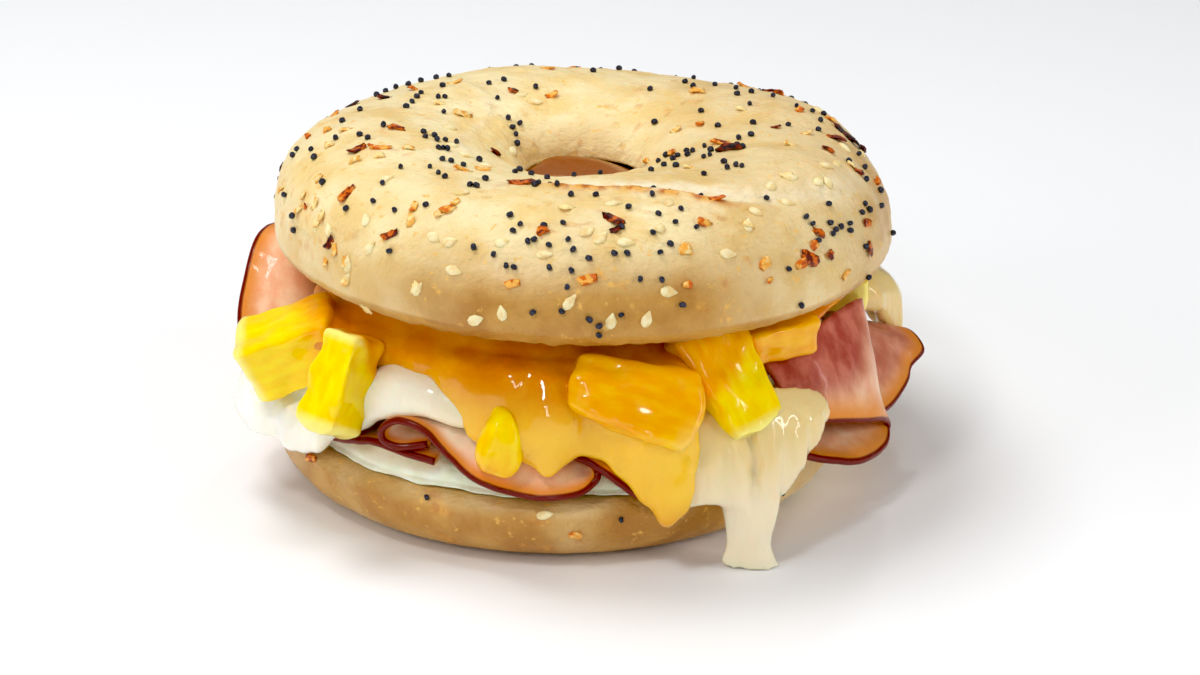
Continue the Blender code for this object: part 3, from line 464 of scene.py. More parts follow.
tree, shader = start_finish("toasted_onion", Roughness=0.42, Coat_Weight=0.1)
spots = times(tree, step(tree, mottle(tree, 1.1, 3.0), 0.34, 0.66), 0.55)
tone = times(tree, carried(tree, "tone"), spots, "ADD")
colour = rgb(252, 226, 156)
# From dried to gold, brown, dark and charred: where each begins, where it is full, and its colour
for begins, full, roasted in (
    (-0.1, 0.3, (244, 178, 76)), (0.35, 0.62, (214, 104, 24)),
    (0.7, 1.0, (104, 30, 14)), (1.05, 1.35, (30, 18, 18)),
):
    colour = blend(tree, step(tree, tone, begins, full), colour, rgb(*roasted))
paint(tree, shader, colour, [mottle(tree, 0.7)], 0.6, 0.3)

tree, shader = start_finish("table", Roughness=0.7)
TABLE_WHITE = (0.945, 0.955, 0.97, 1)
shader.inputs["Base Color"].default_value = TABLE_WHITE
relief(tree, shader, [mottle(tree, 2.0)], 0.02, 0.05)
table.data.materials.append(bpy.data.materials["table"])
print("finishes", sorted(m.name for m in bpy.data.materials))

# %% [markdown]
# ## The two halves of the bagel
#
# Both halves are turned shapes: a closed profile swept round the upright axis makes a ring with a hole.
# A grid of points does that here, because a grid lets us push each point in and out afterwards.
# First the same large lumps as the solids have, then finer ones that only the eye needs.

# %% Turning a ring and pushing its surface


def quarter(start, end, steps, power):
    """Points of a rounded quarter from start, level there, to end, upright there."""
    angle = np.linspace(0, np.pi / 2, steps + 1)
    across, down = np.sin(angle) ** (2 / power), np.clip(np.cos(angle), 0, 1) ** (2 / power)
    return np.stack([start[0] + (end[0] - start[0]) * across, end[1] + (start[1] - end[1]) * down], 1)


def line(start, end, steps):
    """Points on a straight line, without its ends."""
    t = np.linspace(0, 1, steps + 1)[1:-1, None]
    return np.array(start) * (1 - t) + np.array(end) * t


def turned_grid(profile, steps):
    """A closed profile of (radius, height) points turned round: points by angle and profile."""
    angle = np.linspace(0, 2 * np.pi, steps, endpoint=False)[:, None]
    radius, height = profile[:, 0][None], profile[:, 1][None]
    return np.stack([radius * np.sin(angle), -radius * np.cos(angle), height + 0 * angle], 2)


def unit_long(vectors, tiny=1e-12):
    """The vectors made one unit long."""
    return vectors / (np.linalg.norm(vectors, axis=-1, keepdims=True) + tiny)


def outward(grid):
    """The outward direction at each point of a grid that closes both ways."""
    along = np.roll(grid, -1, 0) - np.roll(grid, 1, 0)
    across = np.roll(grid, -1, 1) - np.roll(grid, 1, 1)
    found = unit_long(np.cross(across, along))
    return found if found[:, 0, 2].mean() > 0 else -found


def ring_faces(rows, columns):
    """Faces of a grid that closes both ways."""
    index = np.arange(rows * columns).reshape(rows, columns)
    right, up = np.roll(index, -1, 1), np.roll(index, -1, 0)
    return np.stack([index, right, np.roll(right, -1, 0), up], 2).reshape(-1, 4).tolist()


def ring_piece(name, grid, slot, node, **values):
    """A piece from a grid that closes both ways, with values at each of its points."""
    values = {key: numbers.ravel() for key, numbers in values.items()}
    return new_piece(name, grid.reshape(-1, 3), ring_faces(*grid.shape[:2]), slot, [node], **values)


def waves(points, size, seed=0.0, squeeze=(1, 1, 1)):
    """Smooth noise from about -1 to 1 at every point, with waves of the given size."""
    at = points.reshape(-1, 3) * np.array(squeeze) / size + seed * np.array((7.3, 3.1, 5.7))
    return np.array([noise.noise(p) for p in at.tolist()]).reshape(points.shape[:-1])


def ramp(value, low, high):
    """A smooth step from 0 at low to 1 at high."""
    t = np.clip((value - low) / (high - low), 0, 1)
    return t * t * (3 - 2 * t)


def bump_at(value, middle, width):
    """A smooth bump that is 1 at its middle."""
    return np.exp(-(((value - middle) / width) ** 2))


def points_and_faces(bm):
    """The points and faces of a bmesh, which is freed."""
    points = np.array([v.co for v in bm.verts])
    faces = [tuple(v.index for v in f.verts) for f in bm.faces]
    bm.free()
    return points, faces


def through(points, steps):
    """The smooth curve that passes through all the points."""
    points = np.asarray(points, float)
    ends = np.concatenate([[2 * points[0] - points[1]], points, [2 * points[-1] - points[-2]]])
    found = []
    for t in np.linspace(0, len(points) - 1, steps + 1):
        k = min(int(t), len(points) - 2)
        f = t - k
        a, b, c, d = ends[k : k + 4]
        bend, twist = 2 * a - 5 * b + 4 * c - d, 3 * b - a - 3 * c + d
        found.append(0.5 * (2 * b + (c - a) * f + bend * f**2 + twist * f**3))
    return np.array(found)


def polar(bearing, radius, height):
    """A point from its bearing in degrees (0 at the front, 90 on the right), radius and height."""
    angle = np.radians(bearing)
    return np.stack(np.broadcast_arrays(radius * np.sin(angle), -radius * np.cos(angle), height), -1)


# %% [markdown]
# The lid: a full crown, a tight lower edge and a hollow underside. Its crust has torn open from the
# hole to the right-hand side. The tear is a groove with a toasted lip in front and dry crumb behind.
# It fades out to the right, and a scrap of crust has folded over behind the hole on the left.

# %% The lid's profile, turned
LID_RADIUS, LID_WIDEST_AT, LID_CUT_RADIUS = 54.0, 4.9, 47.4
LID_CREST_RADIUS, LID_HEIGHT = 32.8, 21.7
LID_HOLE_RADIUS, LID_HOLE_WALL_FROM = 10.6, 12.9
LID_CENTRE, LID_TILT, LID_SIDE_RISE = (3.9, 1.0, 38.3), (-1.3, 1.2), 1.5
# The front edge of the tear and the edge of a folded scrap behind on the left, picked on the picture
TEAR_PLACES = "545,181 572,184 600,186 640,187 680,189 720,195 760,200 800,203 840,204 870,202"
FOLD_PLACES = "464,84 478,92 488,106 485,120 472,133 458,142 464,150"


HOLLOW_RISE, HOLLOW_FROM, HOLLOW_SPAN, HOLLOW_POWER = 11.4, 46.0, 32.0, 1.3


def underside(radius):
    """Height of the lid's hollow underside above its lower edge."""
    return HOLLOW_RISE * np.clip((HOLLOW_FROM - radius) / HOLLOW_SPAN, 0, None) ** HOLLOW_POWER


crest = (LID_CREST_RADIUS, LID_HEIGHT)
outer = quarter(crest, (LID_RADIUS, LID_WIDEST_AT), 60, 2.25)
inner = quarter(crest, (LID_HOLE_RADIUS, LID_HOLE_WALL_FROM), 40, 2.0)
LID_STEPS = 440
t = np.linspace(0, 1, 11)[1:]
tuck = np.stack([LID_RADIUS - (LID_RADIUS - LID_CUT_RADIUS) * t * t, LID_WIDEST_AT * (1 - t)], 1)
under_radius = np.linspace(LID_CUT_RADIUS - 1.0, 14.2, 16)
under = np.stack([under_radius, underside(under_radius)], 1)
lid_profile = np.concatenate([outer, tuck, under, inner[:0:-1]])
lid = turned_grid(lid_profile, LID_STEPS)
lid_out = outward(lid)
print("lid grid", lid.shape)

# %% Where the tear and the fold run on the bare lid
lid_turn = np.array(Euler([math.radians(a) for a in LID_TILT] + [0]).to_matrix())
bare_points = ((lid @ lid_turn.T + np.array(LID_CENTRE)) * MM + HEEL_MIDDLE).reshape(-1, 3)
bare_lid = BVHTree.FromPolygons(bare_points.tolist(), ring_faces(*lid.shape[:2]))


def on_lid(places, steps):
    """A smooth line through places of the picture, on the bare lid before it is set in place."""
    found = np.array([bare_lid.ray_cast(camera.location, sight(*place))[0] for place in picked(places)])
    return through(((found - HEEL_MIDDLE) / MM - np.array(LID_CENTRE)) @ lid_turn, steps)


TEAR_STEPS, FOLD_STEPS = 70, 40
tear_line = on_lid(TEAR_PLACES, TEAR_STEPS)[:, :2]
fold_line = on_lid(FOLD_PLACES, FOLD_STEPS)[:, :2]
print("tear from", tear_line[0].round(1), "to", tear_line[-1].round(1), "mm")

# %% Lumps, wrinkles and the tear
lid_x, lid_y, lid_z = np.moveaxis(lid, 2, 0)
top_side = np.clip(lid_out[..., 2] + 0.7, 0, 1)
swell = waves(lid, 21.0, 1) * 1.3 * top_side
wrinkles = waves(lid, 6.0, 3) * 0.30 + waves(lid, 2.4, 4) * 0.18 + waves(lid, 1.3, 5) * 0.12

# How far each point lies behind the tear's line, less than 0 in front of it
gap = lid[..., None, :2] - tear_line
nearest = np.argmin((gap**2).sum(-1), axis=-1)
from_line = np.take_along_axis(gap, nearest[..., None, None], 2)[..., 0, :]
behind = np.sign(from_line[..., 1]) * np.linalg.norm(from_line, axis=-1)
# The tear shows on the upper side alone, runs out at both ends and softens to the right
on_top = ramp(lid_out[..., 2], -0.1, 0.15) * ramp(lid_z, 3.0, 7.0)
tear_wide = 3.2 + 2.4 * (nearest / TEAR_STEPS) + waves(lid, 4.0, 8) * 1.4
tear_ends = ramp(lid_x, -9.0, -4.0) * (1 - 0.8 * ramp(lid_x, 44, 51))
tear_soft = ramp(lid_x, 10, 34)
tear_fade = 1 - 0.85 * tear_soft
torn = ramp(behind, -0.5 - 1.4 * tear_soft, 0.4 + 1.4 * tear_soft)
torn = torn * on_top * tear_ends * (1 - 0.5 * tear_soft)
torn = torn * (1 - ramp(behind, tear_wide - 2.6, tear_wide + 1.2))
lip = bump_at(behind, -1.1, 1.2) * on_top * tear_ends * tear_fade
groove = bump_at(behind, 0.7, 0.9) * on_top * tear_ends * tear_fade
to_fold = np.sqrt(((lid[..., None, :2] - fold_line) ** 2).sum(-1)).min(-1)
fold = bump_at(to_fold, 0, 0.9) * on_top * (0.6 + 0.4 * waves(lid, 3.0, 18))
crumb_bumps = waves(lid, 1.5, 9) * 0.22 + waves(lid, 3.0, 10) * 0.35
# All of it pushes the surface in or out, and the lower edge is ragged
push = swell + wrinkles * (0.35 + 0.65 * on_top) + lip * 0.6 + fold * 0.6 - groove * 0.9
push = push + torn * (crumb_bumps * 0.6 - 0.35)
edge_ragged = bump_at(lid_z, 0.6, 1.6) * ramp(np.hypot(lid_x, lid_y), 42, 46)
push = push + edge_ragged * waves(lid, 2.2, 12) * 0.5
lid = lid + lid_out * push[..., None]
lid_x, lid_y, lid_z = np.moveaxis(lid, 2, 0)
sides = (lid_x / LID_RADIUS) ** 2 * np.clip(lid_z / LID_HEIGHT, 0, 1)
lid[..., 2] += LID_SIDE_RISE * sides * (lid_out[..., 2] > -0.3)
print("lid pushed in or out by at most", abs(push).max().round(2), "mm")

# %% [markdown]
# The oven browns a bagel where it is low, and least on the crown. We write this share down at each point:
# more low at the front and on the right, more on the far wall of the hole. Low at the front and on the far
# wall of the hole, the tan is painted shade.
# The lip of the tear and a few loose scraps are toasted golden.

# %% Where the lid is baked, shaded and toasted
low = 1 - ramp(lid_z, 8.0, 19.0)
# Painted shade: tanner low at the front
front = ramp(-lid_y, 0, 44) * (1 - 0.8 * ramp(np.abs(lid_x), 12, 40))
right = ramp(lid_x, -30, 50)
low_bake = 0.08 + 1.05 * front + 0.5 * ramp(lid_x, 38, 52)
bake = low * low_bake + 0.44 * right**2 * (1 - low) + waves(lid, 12.0, 14) * 0.15
in_hole = 1 - ramp(np.hypot(lid_x, lid_y), 12, 18)
# Painted shade on the far wall of the hole
far_wall = in_hole * ramp(lid_y, 0, 8) * (1 - ramp(lid_x, 2, 9))
bake = np.clip(bake + 0.35 * (lid_out[..., 2] < -0.3) + 0.5 * far_wall, 0, 1)
gold = 1.2 * bump_at(behind, -1.2, 1.3) * on_top * tear_ends
gold = gold * ramp(waves(lid, 3.0, 15), -0.7, -0.1) * (1 - ramp(lid_x, 18, 30))
scraps = ramp(waves(lid, 2.6, 16, (1, 1.8, 1)), 0.34, 0.5) * on_top * ramp(waves(lid, 14.0, 17), -0.2, 0.3)
gold = np.clip(gold + 0.35 * scraps, 0, 1)

lid = lid @ lid_turn.T + np.array(LID_CENTRE)
# Along the folded scrap the pale crumb colour is a painted highlight
torn = np.clip(torn + 0.6 * fold, 0, 1)
crust_top = ring_piece("crust_top", lid, "crust", "bagel_top", bake=bake, torn=torn, gold=gold)

# %% [markdown]
# The bottom half is lower, tanner and almost bare of seeds. Its cut face is flat, so the lumps fade
# out there, and the cream cheese can lie on it.

# %% The bottom half
HEEL_HEIGHT, HEEL_RADIUS, HEEL_WIDEST_AT = 12.4, 50.9, 9.9
HEEL_CUT_RADIUS, HEEL_FOOT_RADIUS, HEEL_HOLE_RADIUS = 49.0, 39.9, 13.0
HEEL_FLARE, HEEL_FLARE_HEIGHT, HEEL_START_RADIUS, HEEL_STEPS = 7.0, 8.0, 16.0, 400

side = quarter((HEEL_FOOT_RADIUS, 0), (HEEL_RADIUS, HEEL_WIDEST_AT), 34, 2.0)
flare_foot = (HEEL_HOLE_RADIUS + HEEL_FLARE, 0)
flare_top = (HEEL_HOLE_RADIUS, HEEL_FLARE_HEIGHT)
cut_rim, hole_rim = (HEEL_CUT_RADIUS, HEEL_HEIGHT), (HEEL_HOLE_RADIUS, HEEL_HEIGHT)
cut_start = (HEEL_START_RADIUS, HEEL_HEIGHT)
shoulder = (HEEL_RADIUS - 0.3, HEEL_WIDEST_AT + 1.2)
heel_profile = np.concatenate([
    line(cut_start, cut_rim, 16),
    [cut_rim],
    line(cut_rim, shoulder, 3),
    [shoulder],
    side[::-1],
    line((HEEL_FOOT_RADIUS, 0), flare_foot, 8),
    quarter(flare_foot, flare_top, 10, 2.0),
    line(flare_top, hole_rim, 4),
    [hole_rim, cut_start],
])
heel = turned_grid(heel_profile, HEEL_STEPS)
heel_out = outward(heel)
below_cut = heel[..., 2] < HEEL_HEIGHT - 0.01
share = np.clip(heel_out[..., 2] + 0.7, 0, 1) * below_cut
push = waves(heel, 24.0, 2) * 0.6 * share
side_share = ramp(heel[..., 2], 0.3, 3.0) * below_cut
push = push + side_share * (waves(heel, 5.0, 21) * 0.22 + waves(heel, 1.8, 22) * 0.10)
# Tan all over and less near the cut; much paler on the right, which is painted light
heel_bake = 1.0 - 0.4 * ramp(heel[..., 2], 9.5, 12.2) - 0.9 * ramp(heel[..., 0], 24, 42)
heel_bake = np.clip(heel_bake + waves(heel, 9.0, 24) * 0.3, 0, 1)
heel = heel + heel_out * push[..., None]
heel_gold = np.clip(waves(heel, 4.0, 25) - 0.2, 0, 1)
crust_bottom = ring_piece(
    "crust_bottom", heel, "crust", "bagel_bottom",
    bake=heel_bake, torn=np.zeros(heel_bake.shape), gold=heel_gold,
)

# %% [markdown]
# ## Cream cheese
#
# It is spread on the cut face in a layer with an uneven edge that bulges over the rim here and there.

# %% The cream cheese
CREAM_TOP, CREAM_FOOT = 16.3, HEEL_HEIGHT + 0.4
CREAM_RIM_FROM, LEVEL_OF_NOISE = 38, 33.0  # the edge is uneven outside this radius, and upright
corners = [
    (16.4, CREAM_TOP), (31.0, CREAM_TOP), (43.5, CREAM_TOP), (46.4, CREAM_TOP - 0.9),
    (47.6, HEEL_HEIGHT + 1.4), (46.8, CREAM_FOOT), (31.0, CREAM_FOOT), (15.6, CREAM_FOOT),
    (14.6, CREAM_TOP - 1.6),
]
cream_profile = through([*corners, corners[0]], 90)[:-1]
cream = turned_grid(cream_profile, 360)
cream_out = outward(cream)
radius = np.hypot(cream[..., 0], cream[..., 1])
at_rim = radius > CREAM_RIM_FROM
level = np.stack([cream[..., 0], cream[..., 1], np.full(radius.shape, LEVEL_OF_NOISE)], 2)
push = waves(level, 11.0) * 1.1 * at_rim
cream[..., :2] *= (1 + push / radius)[..., None]
knife_marks = waves(cream, 4.0, 31) * 0.35 + waves(cream, 1.6, 32) * 0.1
cream = cream + cream_out * (knife_marks * at_rim)[..., None]
cream[..., 2] = np.clip(cream[..., 2], HEEL_HEIGHT + 0.1, None)
ring_piece("cream_spread", cream, "cream_cheese", "cream_cheese")

# %% [markdown]
# ## Ham
#
# Each slice is a curved sheet through a net of points. Every column runs from the rind inwards, so the
# distance from the rind is known at each point, and the finish can brown the meat towards it. The sheet
# gets its thickness from two layers of points that meet in a rounded edge at the rind.

# %% A folded slice


HAM_THICKNESS, HAM_FINE, RIND_WIDTH = 1.3, 400, 1.2
RIND_CLOSE = 1.7  # how much closer together points lie by the rind


def slice_piece(name, columns, node, along, across=34, deep=None, pale=None, fade=1.0):
    """A closed sheet through the columns, with the distance from the rind carried along.

    The browning fades inwards at its own rate; deep and pale are rules for where the meat is
    deep red and where it is light in colour, partly as painted light."""
    places = np.linspace(0, 1, across + 1) ** RIND_CLOSE
    fine = np.array([through(row, HAM_FINE) for row in through(columns, along)])
    middle = fine[:, (places * HAM_FINE).round().astype(int)]
    d_along = np.gradient(middle, axis=0)
    d_across = np.gradient(middle, axis=1)
    normal = unit_long(np.cross(d_along, d_across))
    length = np.linalg.norm(np.diff(middle, axis=1), axis=2)
    from_rind = np.concatenate([np.zeros((along + 1, 1)), np.cumsum(length, axis=1)], 1)
    ripple = waves(middle, 5.0, 42) * 0.25 + waves(middle, 2.0, 44) * 0.10
    middle = middle + normal * ripple[..., None]
    half = HAM_THICKNESS / 2
    rounded = np.sqrt(1 - (1 - np.clip(from_rind / half, 0, 1)) ** 2) * half
    upper = middle + normal * rounded[..., None]
    lower = middle - normal * rounded[..., None]
    loop = np.concatenate([lower[:, :0:-1], upper], 1)
    carried_rind = np.concatenate([from_rind[:, :0:-1], from_rind], 1)
    many = loop.shape[1]
    index = np.arange(loop.shape[0] * many).reshape(loop.shape[:2])
    faces = []
    for a, b in zip(index, index[1:]):
        faces += [(a[k], a[(k + 1) % many], b[(k + 1) % many], b[k]) for k in range(many)]
    for end in (index[0], index[-1]):
        for k in range(across):
            below, above = end[across - k], end[across + k]
            next_below, next_above = end[across - k - 1], end[across + k + 1]
            faces.append((below, above, next_above, next_below) if k else (below, next_above, next_below))
    flat = loop.reshape(-1, 3)
    carried_rind = carried_rind.ravel()
    values = {"rind": carried_rind + np.clip(carried_rind - RIND_WIDTH, 0, None) * (fade - 1)}
    for key, rule in (("deep", deep), ("pale", pale)):
        values[key] = np.clip(rule(flat), 0, 1) if rule else np.zeros(len(flat))
    faces = [tuple(int(i) for i in f) for f in faces]
    return new_piece(name, flat, faces, "ham", [node], **values)


# %% The net of each slice, column by column: rind, middle and inner end
HAM_LEFT = [
    [(-35.5, 29.0, 21.0), (-32.5, 26.0, 19.4), (-29.5, 23.5, 17.6)],
    [(-45.0, 27.0, 29.5), (-39.5, 22.5, 25.0), (-32.8, 18.0, 17.6)],
    [(-50.8, 18.5, 36.0), (-43.0, 15.0, 33.5), (-35.6, 11.0, 17.6)],
    [(-54.0, 9.0, 37.6), (-45.0, 7.0, 34.0), (-36.9, 5.0, 17.6)],
    [(-56.0, 3.4, 32.0), (-46.5, 1.0, 28.5), (-37.2, 0.5, 17.6)],
    [(-56.7, -4.0, 25.8), (-47.0, -5.0, 23.0), (-37.2, -3.6, 17.6)],
    [(-54.0, -12.0, 19.2), (-45.5, -10.5, 18.2), (-36.0, -9.0, 17.6)],
    [(-46.0, -25.0, 16.8), (-40.0, -21.5, 17.2), (-31.5, -17.5, 17.6)],
    [(-38.4, -34.0, 17.2), (-33.5, -29.5, 17.6), (-27.0, -24.5, 17.8)],
    [(-31.4, -39.8, 19.0), (-28.5, -34.9, 18.4), (-23.2, -28.8, 17.9)],
    [(-25.2, -42.4, 18.0), (-22.8, -37.4, 17.8), (-18.6, -31.2, 17.7)],
    [(-20.6, -44.2, 17.3), (-18.6, -39.0, 17.4), (-15.4, -33.0, 17.6)],
]
HAM_FRONT = [
    [(-21.8, -43.0, 20.0), (-20.5, -39.0, 20.0), (-18.5, -34.5, 20.2)],
    [(-26.1, -42.6, 19.3), (-24.3, -38.6, 19.4), (-21.8, -33.6, 19.7)],
    [(-29.1, -42.0, 20.3), (-26.8, -38.0, 20.3), (-23.7, -32.6, 20.4)],
    [(-29.2, -42.0, 22.6), (-26.9, -38.0, 22.4), (-23.8, -32.6, 21.9)],
    [(-26.5, -43.0, 24.3), (-24.6, -39.0, 24.0), (-21.9, -33.8, 23.3)],
    [(-21.8, -45.0, 22.9), (-20.0, -40.5, 23.6), (-17.6, -35.6, 23.7)],
    [(-17.6, -48.0, 19.5), (-16.2, -43.0, 22.6), (-14.2, -37.0, 23.8)],
    [(-12.6, -50.5, 16.2), (-11.8, -45.5, 20.6), (-10.4, -38.4, 23.6)],
    [(-3.6, -52.0, 14.2), (-3.4, -47.0, 18.6), (-3.0, -39.5, 22.6)],
    [(3.0, -51.8, 14.7), (2.4, -47.0, 17.6), (1.8, -39.8, 20.6)],
    [(6.0, -50.2, 16.0), (4.8, -46.0, 17.4), (3.6, -39.8, 18.8)],
    [(6.8, -49.4, 17.6), (5.6, -45.8, 18.6), (4.2, -39.8, 19.8)],
    [(5.6, -48.4, 19.0), (4.8, -45.4, 19.8), (3.8, -39.8, 20.8)],
    [(3.0, -47.4, 19.9), (2.8, -44.8, 20.5), (2.4, -39.8, 21.4)],
]
HAM_FRONT_RIGHT = [
    [(1.2, -47.4, 19.9), (2.4, -42.5, 21.6), (2.8, -37.6, 22.8)],
    [(4.2, -48.9, 19.6), (4.8, -43.4, 21.4), (5.0, -37.4, 22.8)],
    [(7.4, -49.9, 18.0), (7.8, -43.8, 20.6), (7.6, -37.0, 22.8)],
    [(10.6, -50.4, 15.8), (10.4, -44.0, 19.4), (9.4, -36.6, 22.6)],
    [(14.0, -50.3, 13.6), (13.0, -43.9, 18.3), (11.6, -36.2, 22.4)],
    [(19.0, -47.6, 13.2), (17.4, -41.5, 17.2), (15.0, -34.8, 21.6)],
    [(26.0, -44.0, 14.0), (23.5, -38.2, 17.4), (19.8, -32.2, 21.0)],
    [(31.5, -39.5, 16.0), (28.0, -34.5, 18.4), (23.8, -29.4, 20.6)],
]
HAM_RIGHT_FOLD = [
    [(39.2, -34.8, 20.0), (37.0, -32.4, 26.0), (33.0, -29.0, 30.6)],
    [(47.0, -30.2, 18.4), (44.6, -28.6, 26.0), (41.6, -25.2, 32.6)],
    [(52.4, -25.6, 16.4), (50.4, -22.6, 25.6), (47.4, -18.4, 34.0)],
    [(55.4, -21.6, 14.8), (53.6, -17.0, 24.8), (51.6, -12.6, 33.4)],
    [(57.2, -18.6, 12.4), (51.0, -13.0, 17.0), (43.0, -8.6, 20.4)],
    [(56.4, -22.4, 10.4), (49.0, -17.8, 14.6), (37.6, -12.6, 17.6)],
    [(52.0, -29.6, 10.8), (45.0, -24.4, 14.4), (34.6, -18.0, 17.4)],
    [(46.4, -34.2, 12.8), (40.4, -28.8, 15.4), (31.0, -22.0, 17.4)],
    [(41.0, -37.2, 15.4), (35.4, -31.6, 16.8), (27.4, -25.4, 17.6)],
]
HAM_RIGHT_BACK = [
    [(56.4, -11.4, 11.4), (51.4, -8.4, 17.4), (44.6, -5.0, 21.4)],
    [(59.0, -7.4, 12.0), (53.0, -5.2, 18.0), (46.0, -3.2, 22.4)],
    [(61.6, -2.6, 13.8), (54.4, -1.6, 20.4), (46.6, -0.6, 23.2)],
    [(62.6, 1.4, 15.2), (54.8, 1.4, 22.2), (46.8, 1.6, 24.0)],
    [(65.0, 4.0, 17.4), (55.0, 4.4, 21.6), (46.8, 4.6, 23.6)],
    [(62.4, 6.8, 19.8), (53.4, 7.2, 21.4), (46.4, 7.2, 22.8)],
    [(55.4, 10.4, 18.4), (50.4, 10.4, 20.0), (45.0, 10.2, 21.0)],
    [(53.6, 18.0, 16.4), (48.0, 16.6, 18.2), (41.4, 15.0, 19.4)],
    [(49.6, 25.6, 18.2), (44.4, 23.4, 19.2), (37.6, 20.6, 19.4)],
]

# %% A ruffled slice behind, by rule, and all slices made
BACK_FROM, BACK_TO, BACK_WAVES = 128, 232, 4.5
RUFFLE_OUT, RUFFLE_UP, RUFFLE_MIDDLE = 1.6, 1.9, 1.2  # how far the ruffle swings at the rim and midway
RIM_AT, MIDWAY_AT, INNER_AT = (53.5, 18.0), (46.5, 18.6), (38.0, 19.4)  # radius and height
ham_back = []
for share in np.linspace(0, 1, 37):
    bearing, turn = BACK_FROM + (BACK_TO - BACK_FROM) * share, BACK_WAVES * 2 * math.pi * share
    rim = polar(bearing, RIM_AT[0] + RUFFLE_OUT * math.cos(turn), RIM_AT[1] + RUFFLE_UP * math.sin(turn))
    midway = polar(bearing, MIDWAY_AT[0], MIDWAY_AT[1] + RUFFLE_MIDDLE * math.sin(turn))
    ham_back.append([rim, midway, polar(bearing, *INNER_AT)])
print("ruffled slice from", len(ham_back), "columns")

slice_piece(
    "ham_slice_left", HAM_LEFT, "ham_left", 150,
    # Paler towards the front: painted light
    pale=lambda p: 0.75 * ramp(-p[:, 1], 10, 26), fade=1.5,
)
slice_piece(
    "ham_slice_front", HAM_FRONT, "ham_front", 170,
    pale=lambda p: 0.2 + 0.6 * ramp(p[:, 2], 18.0, 22.5), fade=2.2,
)
slice_piece(
    "ham_slice_front_right", HAM_FRONT_RIGHT, "ham_front_right", 90,
    pale=lambda p: ramp(p[:, 2], 16, 21) * 0.6, fade=2.0,
)
slice_piece(
    "ham_slice_right", HAM_RIGHT_FOLD, "ham_right_fold", 150,
    deep=lambda p: ramp(p[:, 2], 19, 27) * (1 - 0.5 * ramp(p[:, 0], 50, 54)),
)
slice_piece(
    "ham_slice_right_back", HAM_RIGHT_BACK, "ham_right_back", 120,
    deep=lambda p: 0.7 * ramp(p[:, 2], 12, 18), fade=1.5,
)
slice_piece("ham_slice_back", ham_back, "ham_back", 260, across=24)

# %% [markdown]
# ## Melted cheese
#
# A slice that melts stays level in the middle, rounds over a shoulder and hangs down its edge, further
# in some places than in others. A table gives shoulder and edge for each bearing. The white cheese also
# has a lobe over the ham and a strand down to the table. A voxel Remesh welds the parts into one skin,
# and Smooth rounds the joins as surface tension does.

# %% Melting a slice


def table_round(rows, bearing):
    """The columns of a table of bearings at one bearing, eased from row to row all the way round."""
    bearing = (bearing - rows[0][0]) % 360 + rows[0][0]
    closed = [*rows, (rows[0][0] + 360, *rows[0][1:])]
    before, after = next((a, b) for a, b in zip(closed, closed[1:]) if a[0] <= bearing <= b[0])
    t = ramp(bearing, before[0], after[0])
    return np.array(before[1:]) * (1 - t) + np.array(after[1:]) * t


def pulled(a, b, c, steps):
    """Points of the curve from a to c that b pulls towards itself."""
    t = np.linspace(0, 1, steps + 1)[:, None]
    a, b, c = (np.array(p, float) for p in (a, b, c))
    return (1 - t) ** 2 * a + 2 * t * (1 - t) * b + t * t * c


PRESSED_IN = 0.4  # the soft cheese is pressed this far into the lid


def roof(x, y):
    """Height above a place to which the cheese fills the hollow under the lid."""
    x, y = x - LID_CENTRE[0], y - LID_CENTRE[1]
    lean = y * math.tan(math.radians(LID_TILT[0])) - x * math.tan(math.radians(LID_TILT[1]))
    return LID_CENTRE[2] + underside(np.hypot(x, y)) + lean + PRESSED_IN


BEARING_STEP, TIP_ABOVE, TIP_BELOW, CROWN_IN = 1.5, 1.2, 0.9, 0.5


def melted_slice(rows, middle, under, thickness, crown=()):
    """Points and faces of a closed melted slice; crown gives radii and heights where it fills the lid."""
    points, rings = [(0, 0, crown[0][1] if crown else middle), (0, 0, under)], []
    for bearing in np.arange(0, 360, BEARING_STEP):
        shoulder_s, shoulder_z, edge_s, edge_z = table_round(rows, bearing)
        inner_s = edge_s - thickness
        inner_top = max(under, min(shoulder_z, middle) - thickness)
        outside, inside = (edge_s, edge_z + TIP_ABOVE), (inner_s, edge_z + TIP_BELOW)
        over = pulled((shoulder_s, shoulder_z), (edge_s, shoulder_z), outside, 12)
        tip = pulled(outside, (edge_s - thickness / 2, edge_z - TIP_BELOW), inside, 6)
        back = pulled(inside, (inner_s, inner_top), (min(shoulder_s - 1.5, inner_s), inner_top), 6)
        level = [(s, min(z, roof(*polar(bearing, s, 0.0)[:2]) + CROWN_IN)) for s, z in crown]
        profile = np.array([*level, *over, *tip[1:], *back[1:]])
        rings.append(range(len(points), len(points) + len(profile)))
        points += polar(bearing, profile[:, 0], profile[:, 1]).tolist()
    faces = []
    for a, b in zip(rings, rings[1:] + rings[:1]):
        faces += [(a[i], a[i + 1], b[i + 1], b[i]) for i in range(len(a) - 1)]
        faces += [(0, a[0], b[0]), (1, b[-1], a[-1])]
    return points, faces


def stacked(levels, sides=28):
    """Points and faces of a loft through level ellipses: height, centre x and y, half width and depth."""
    levels = through(levels, 30)
    angle = np.linspace(0, 2 * np.pi, sides, endpoint=False)
    points = [(x + a * math.cos(t), y + b * math.sin(t), z) for z, x, y, a, b in levels for t in angle]
    faces = [tuple(range(sides)), tuple(range(len(points) - sides, len(points)))[::-1]]
    for row in range(len(levels) - 1):
        for k in range(sides):
            a, b = row * sides + k, row * sides + (k + 1) % sides
            faces.append((a, b, b + sides, a + sides))
    return points, faces


def pool(centre, radii, turns=24):
    """Points and faces of a round pool of cheese: its middle and its three half widths."""
    bm = bmesh.new()
    bmesh.ops.create_uvsphere(bm, u_segments=turns, v_segments=turns // 2, radius=1.0)
    points, faces = points_and_faces(bm)
    return points * np.array(radii) + np.array(centre), faces


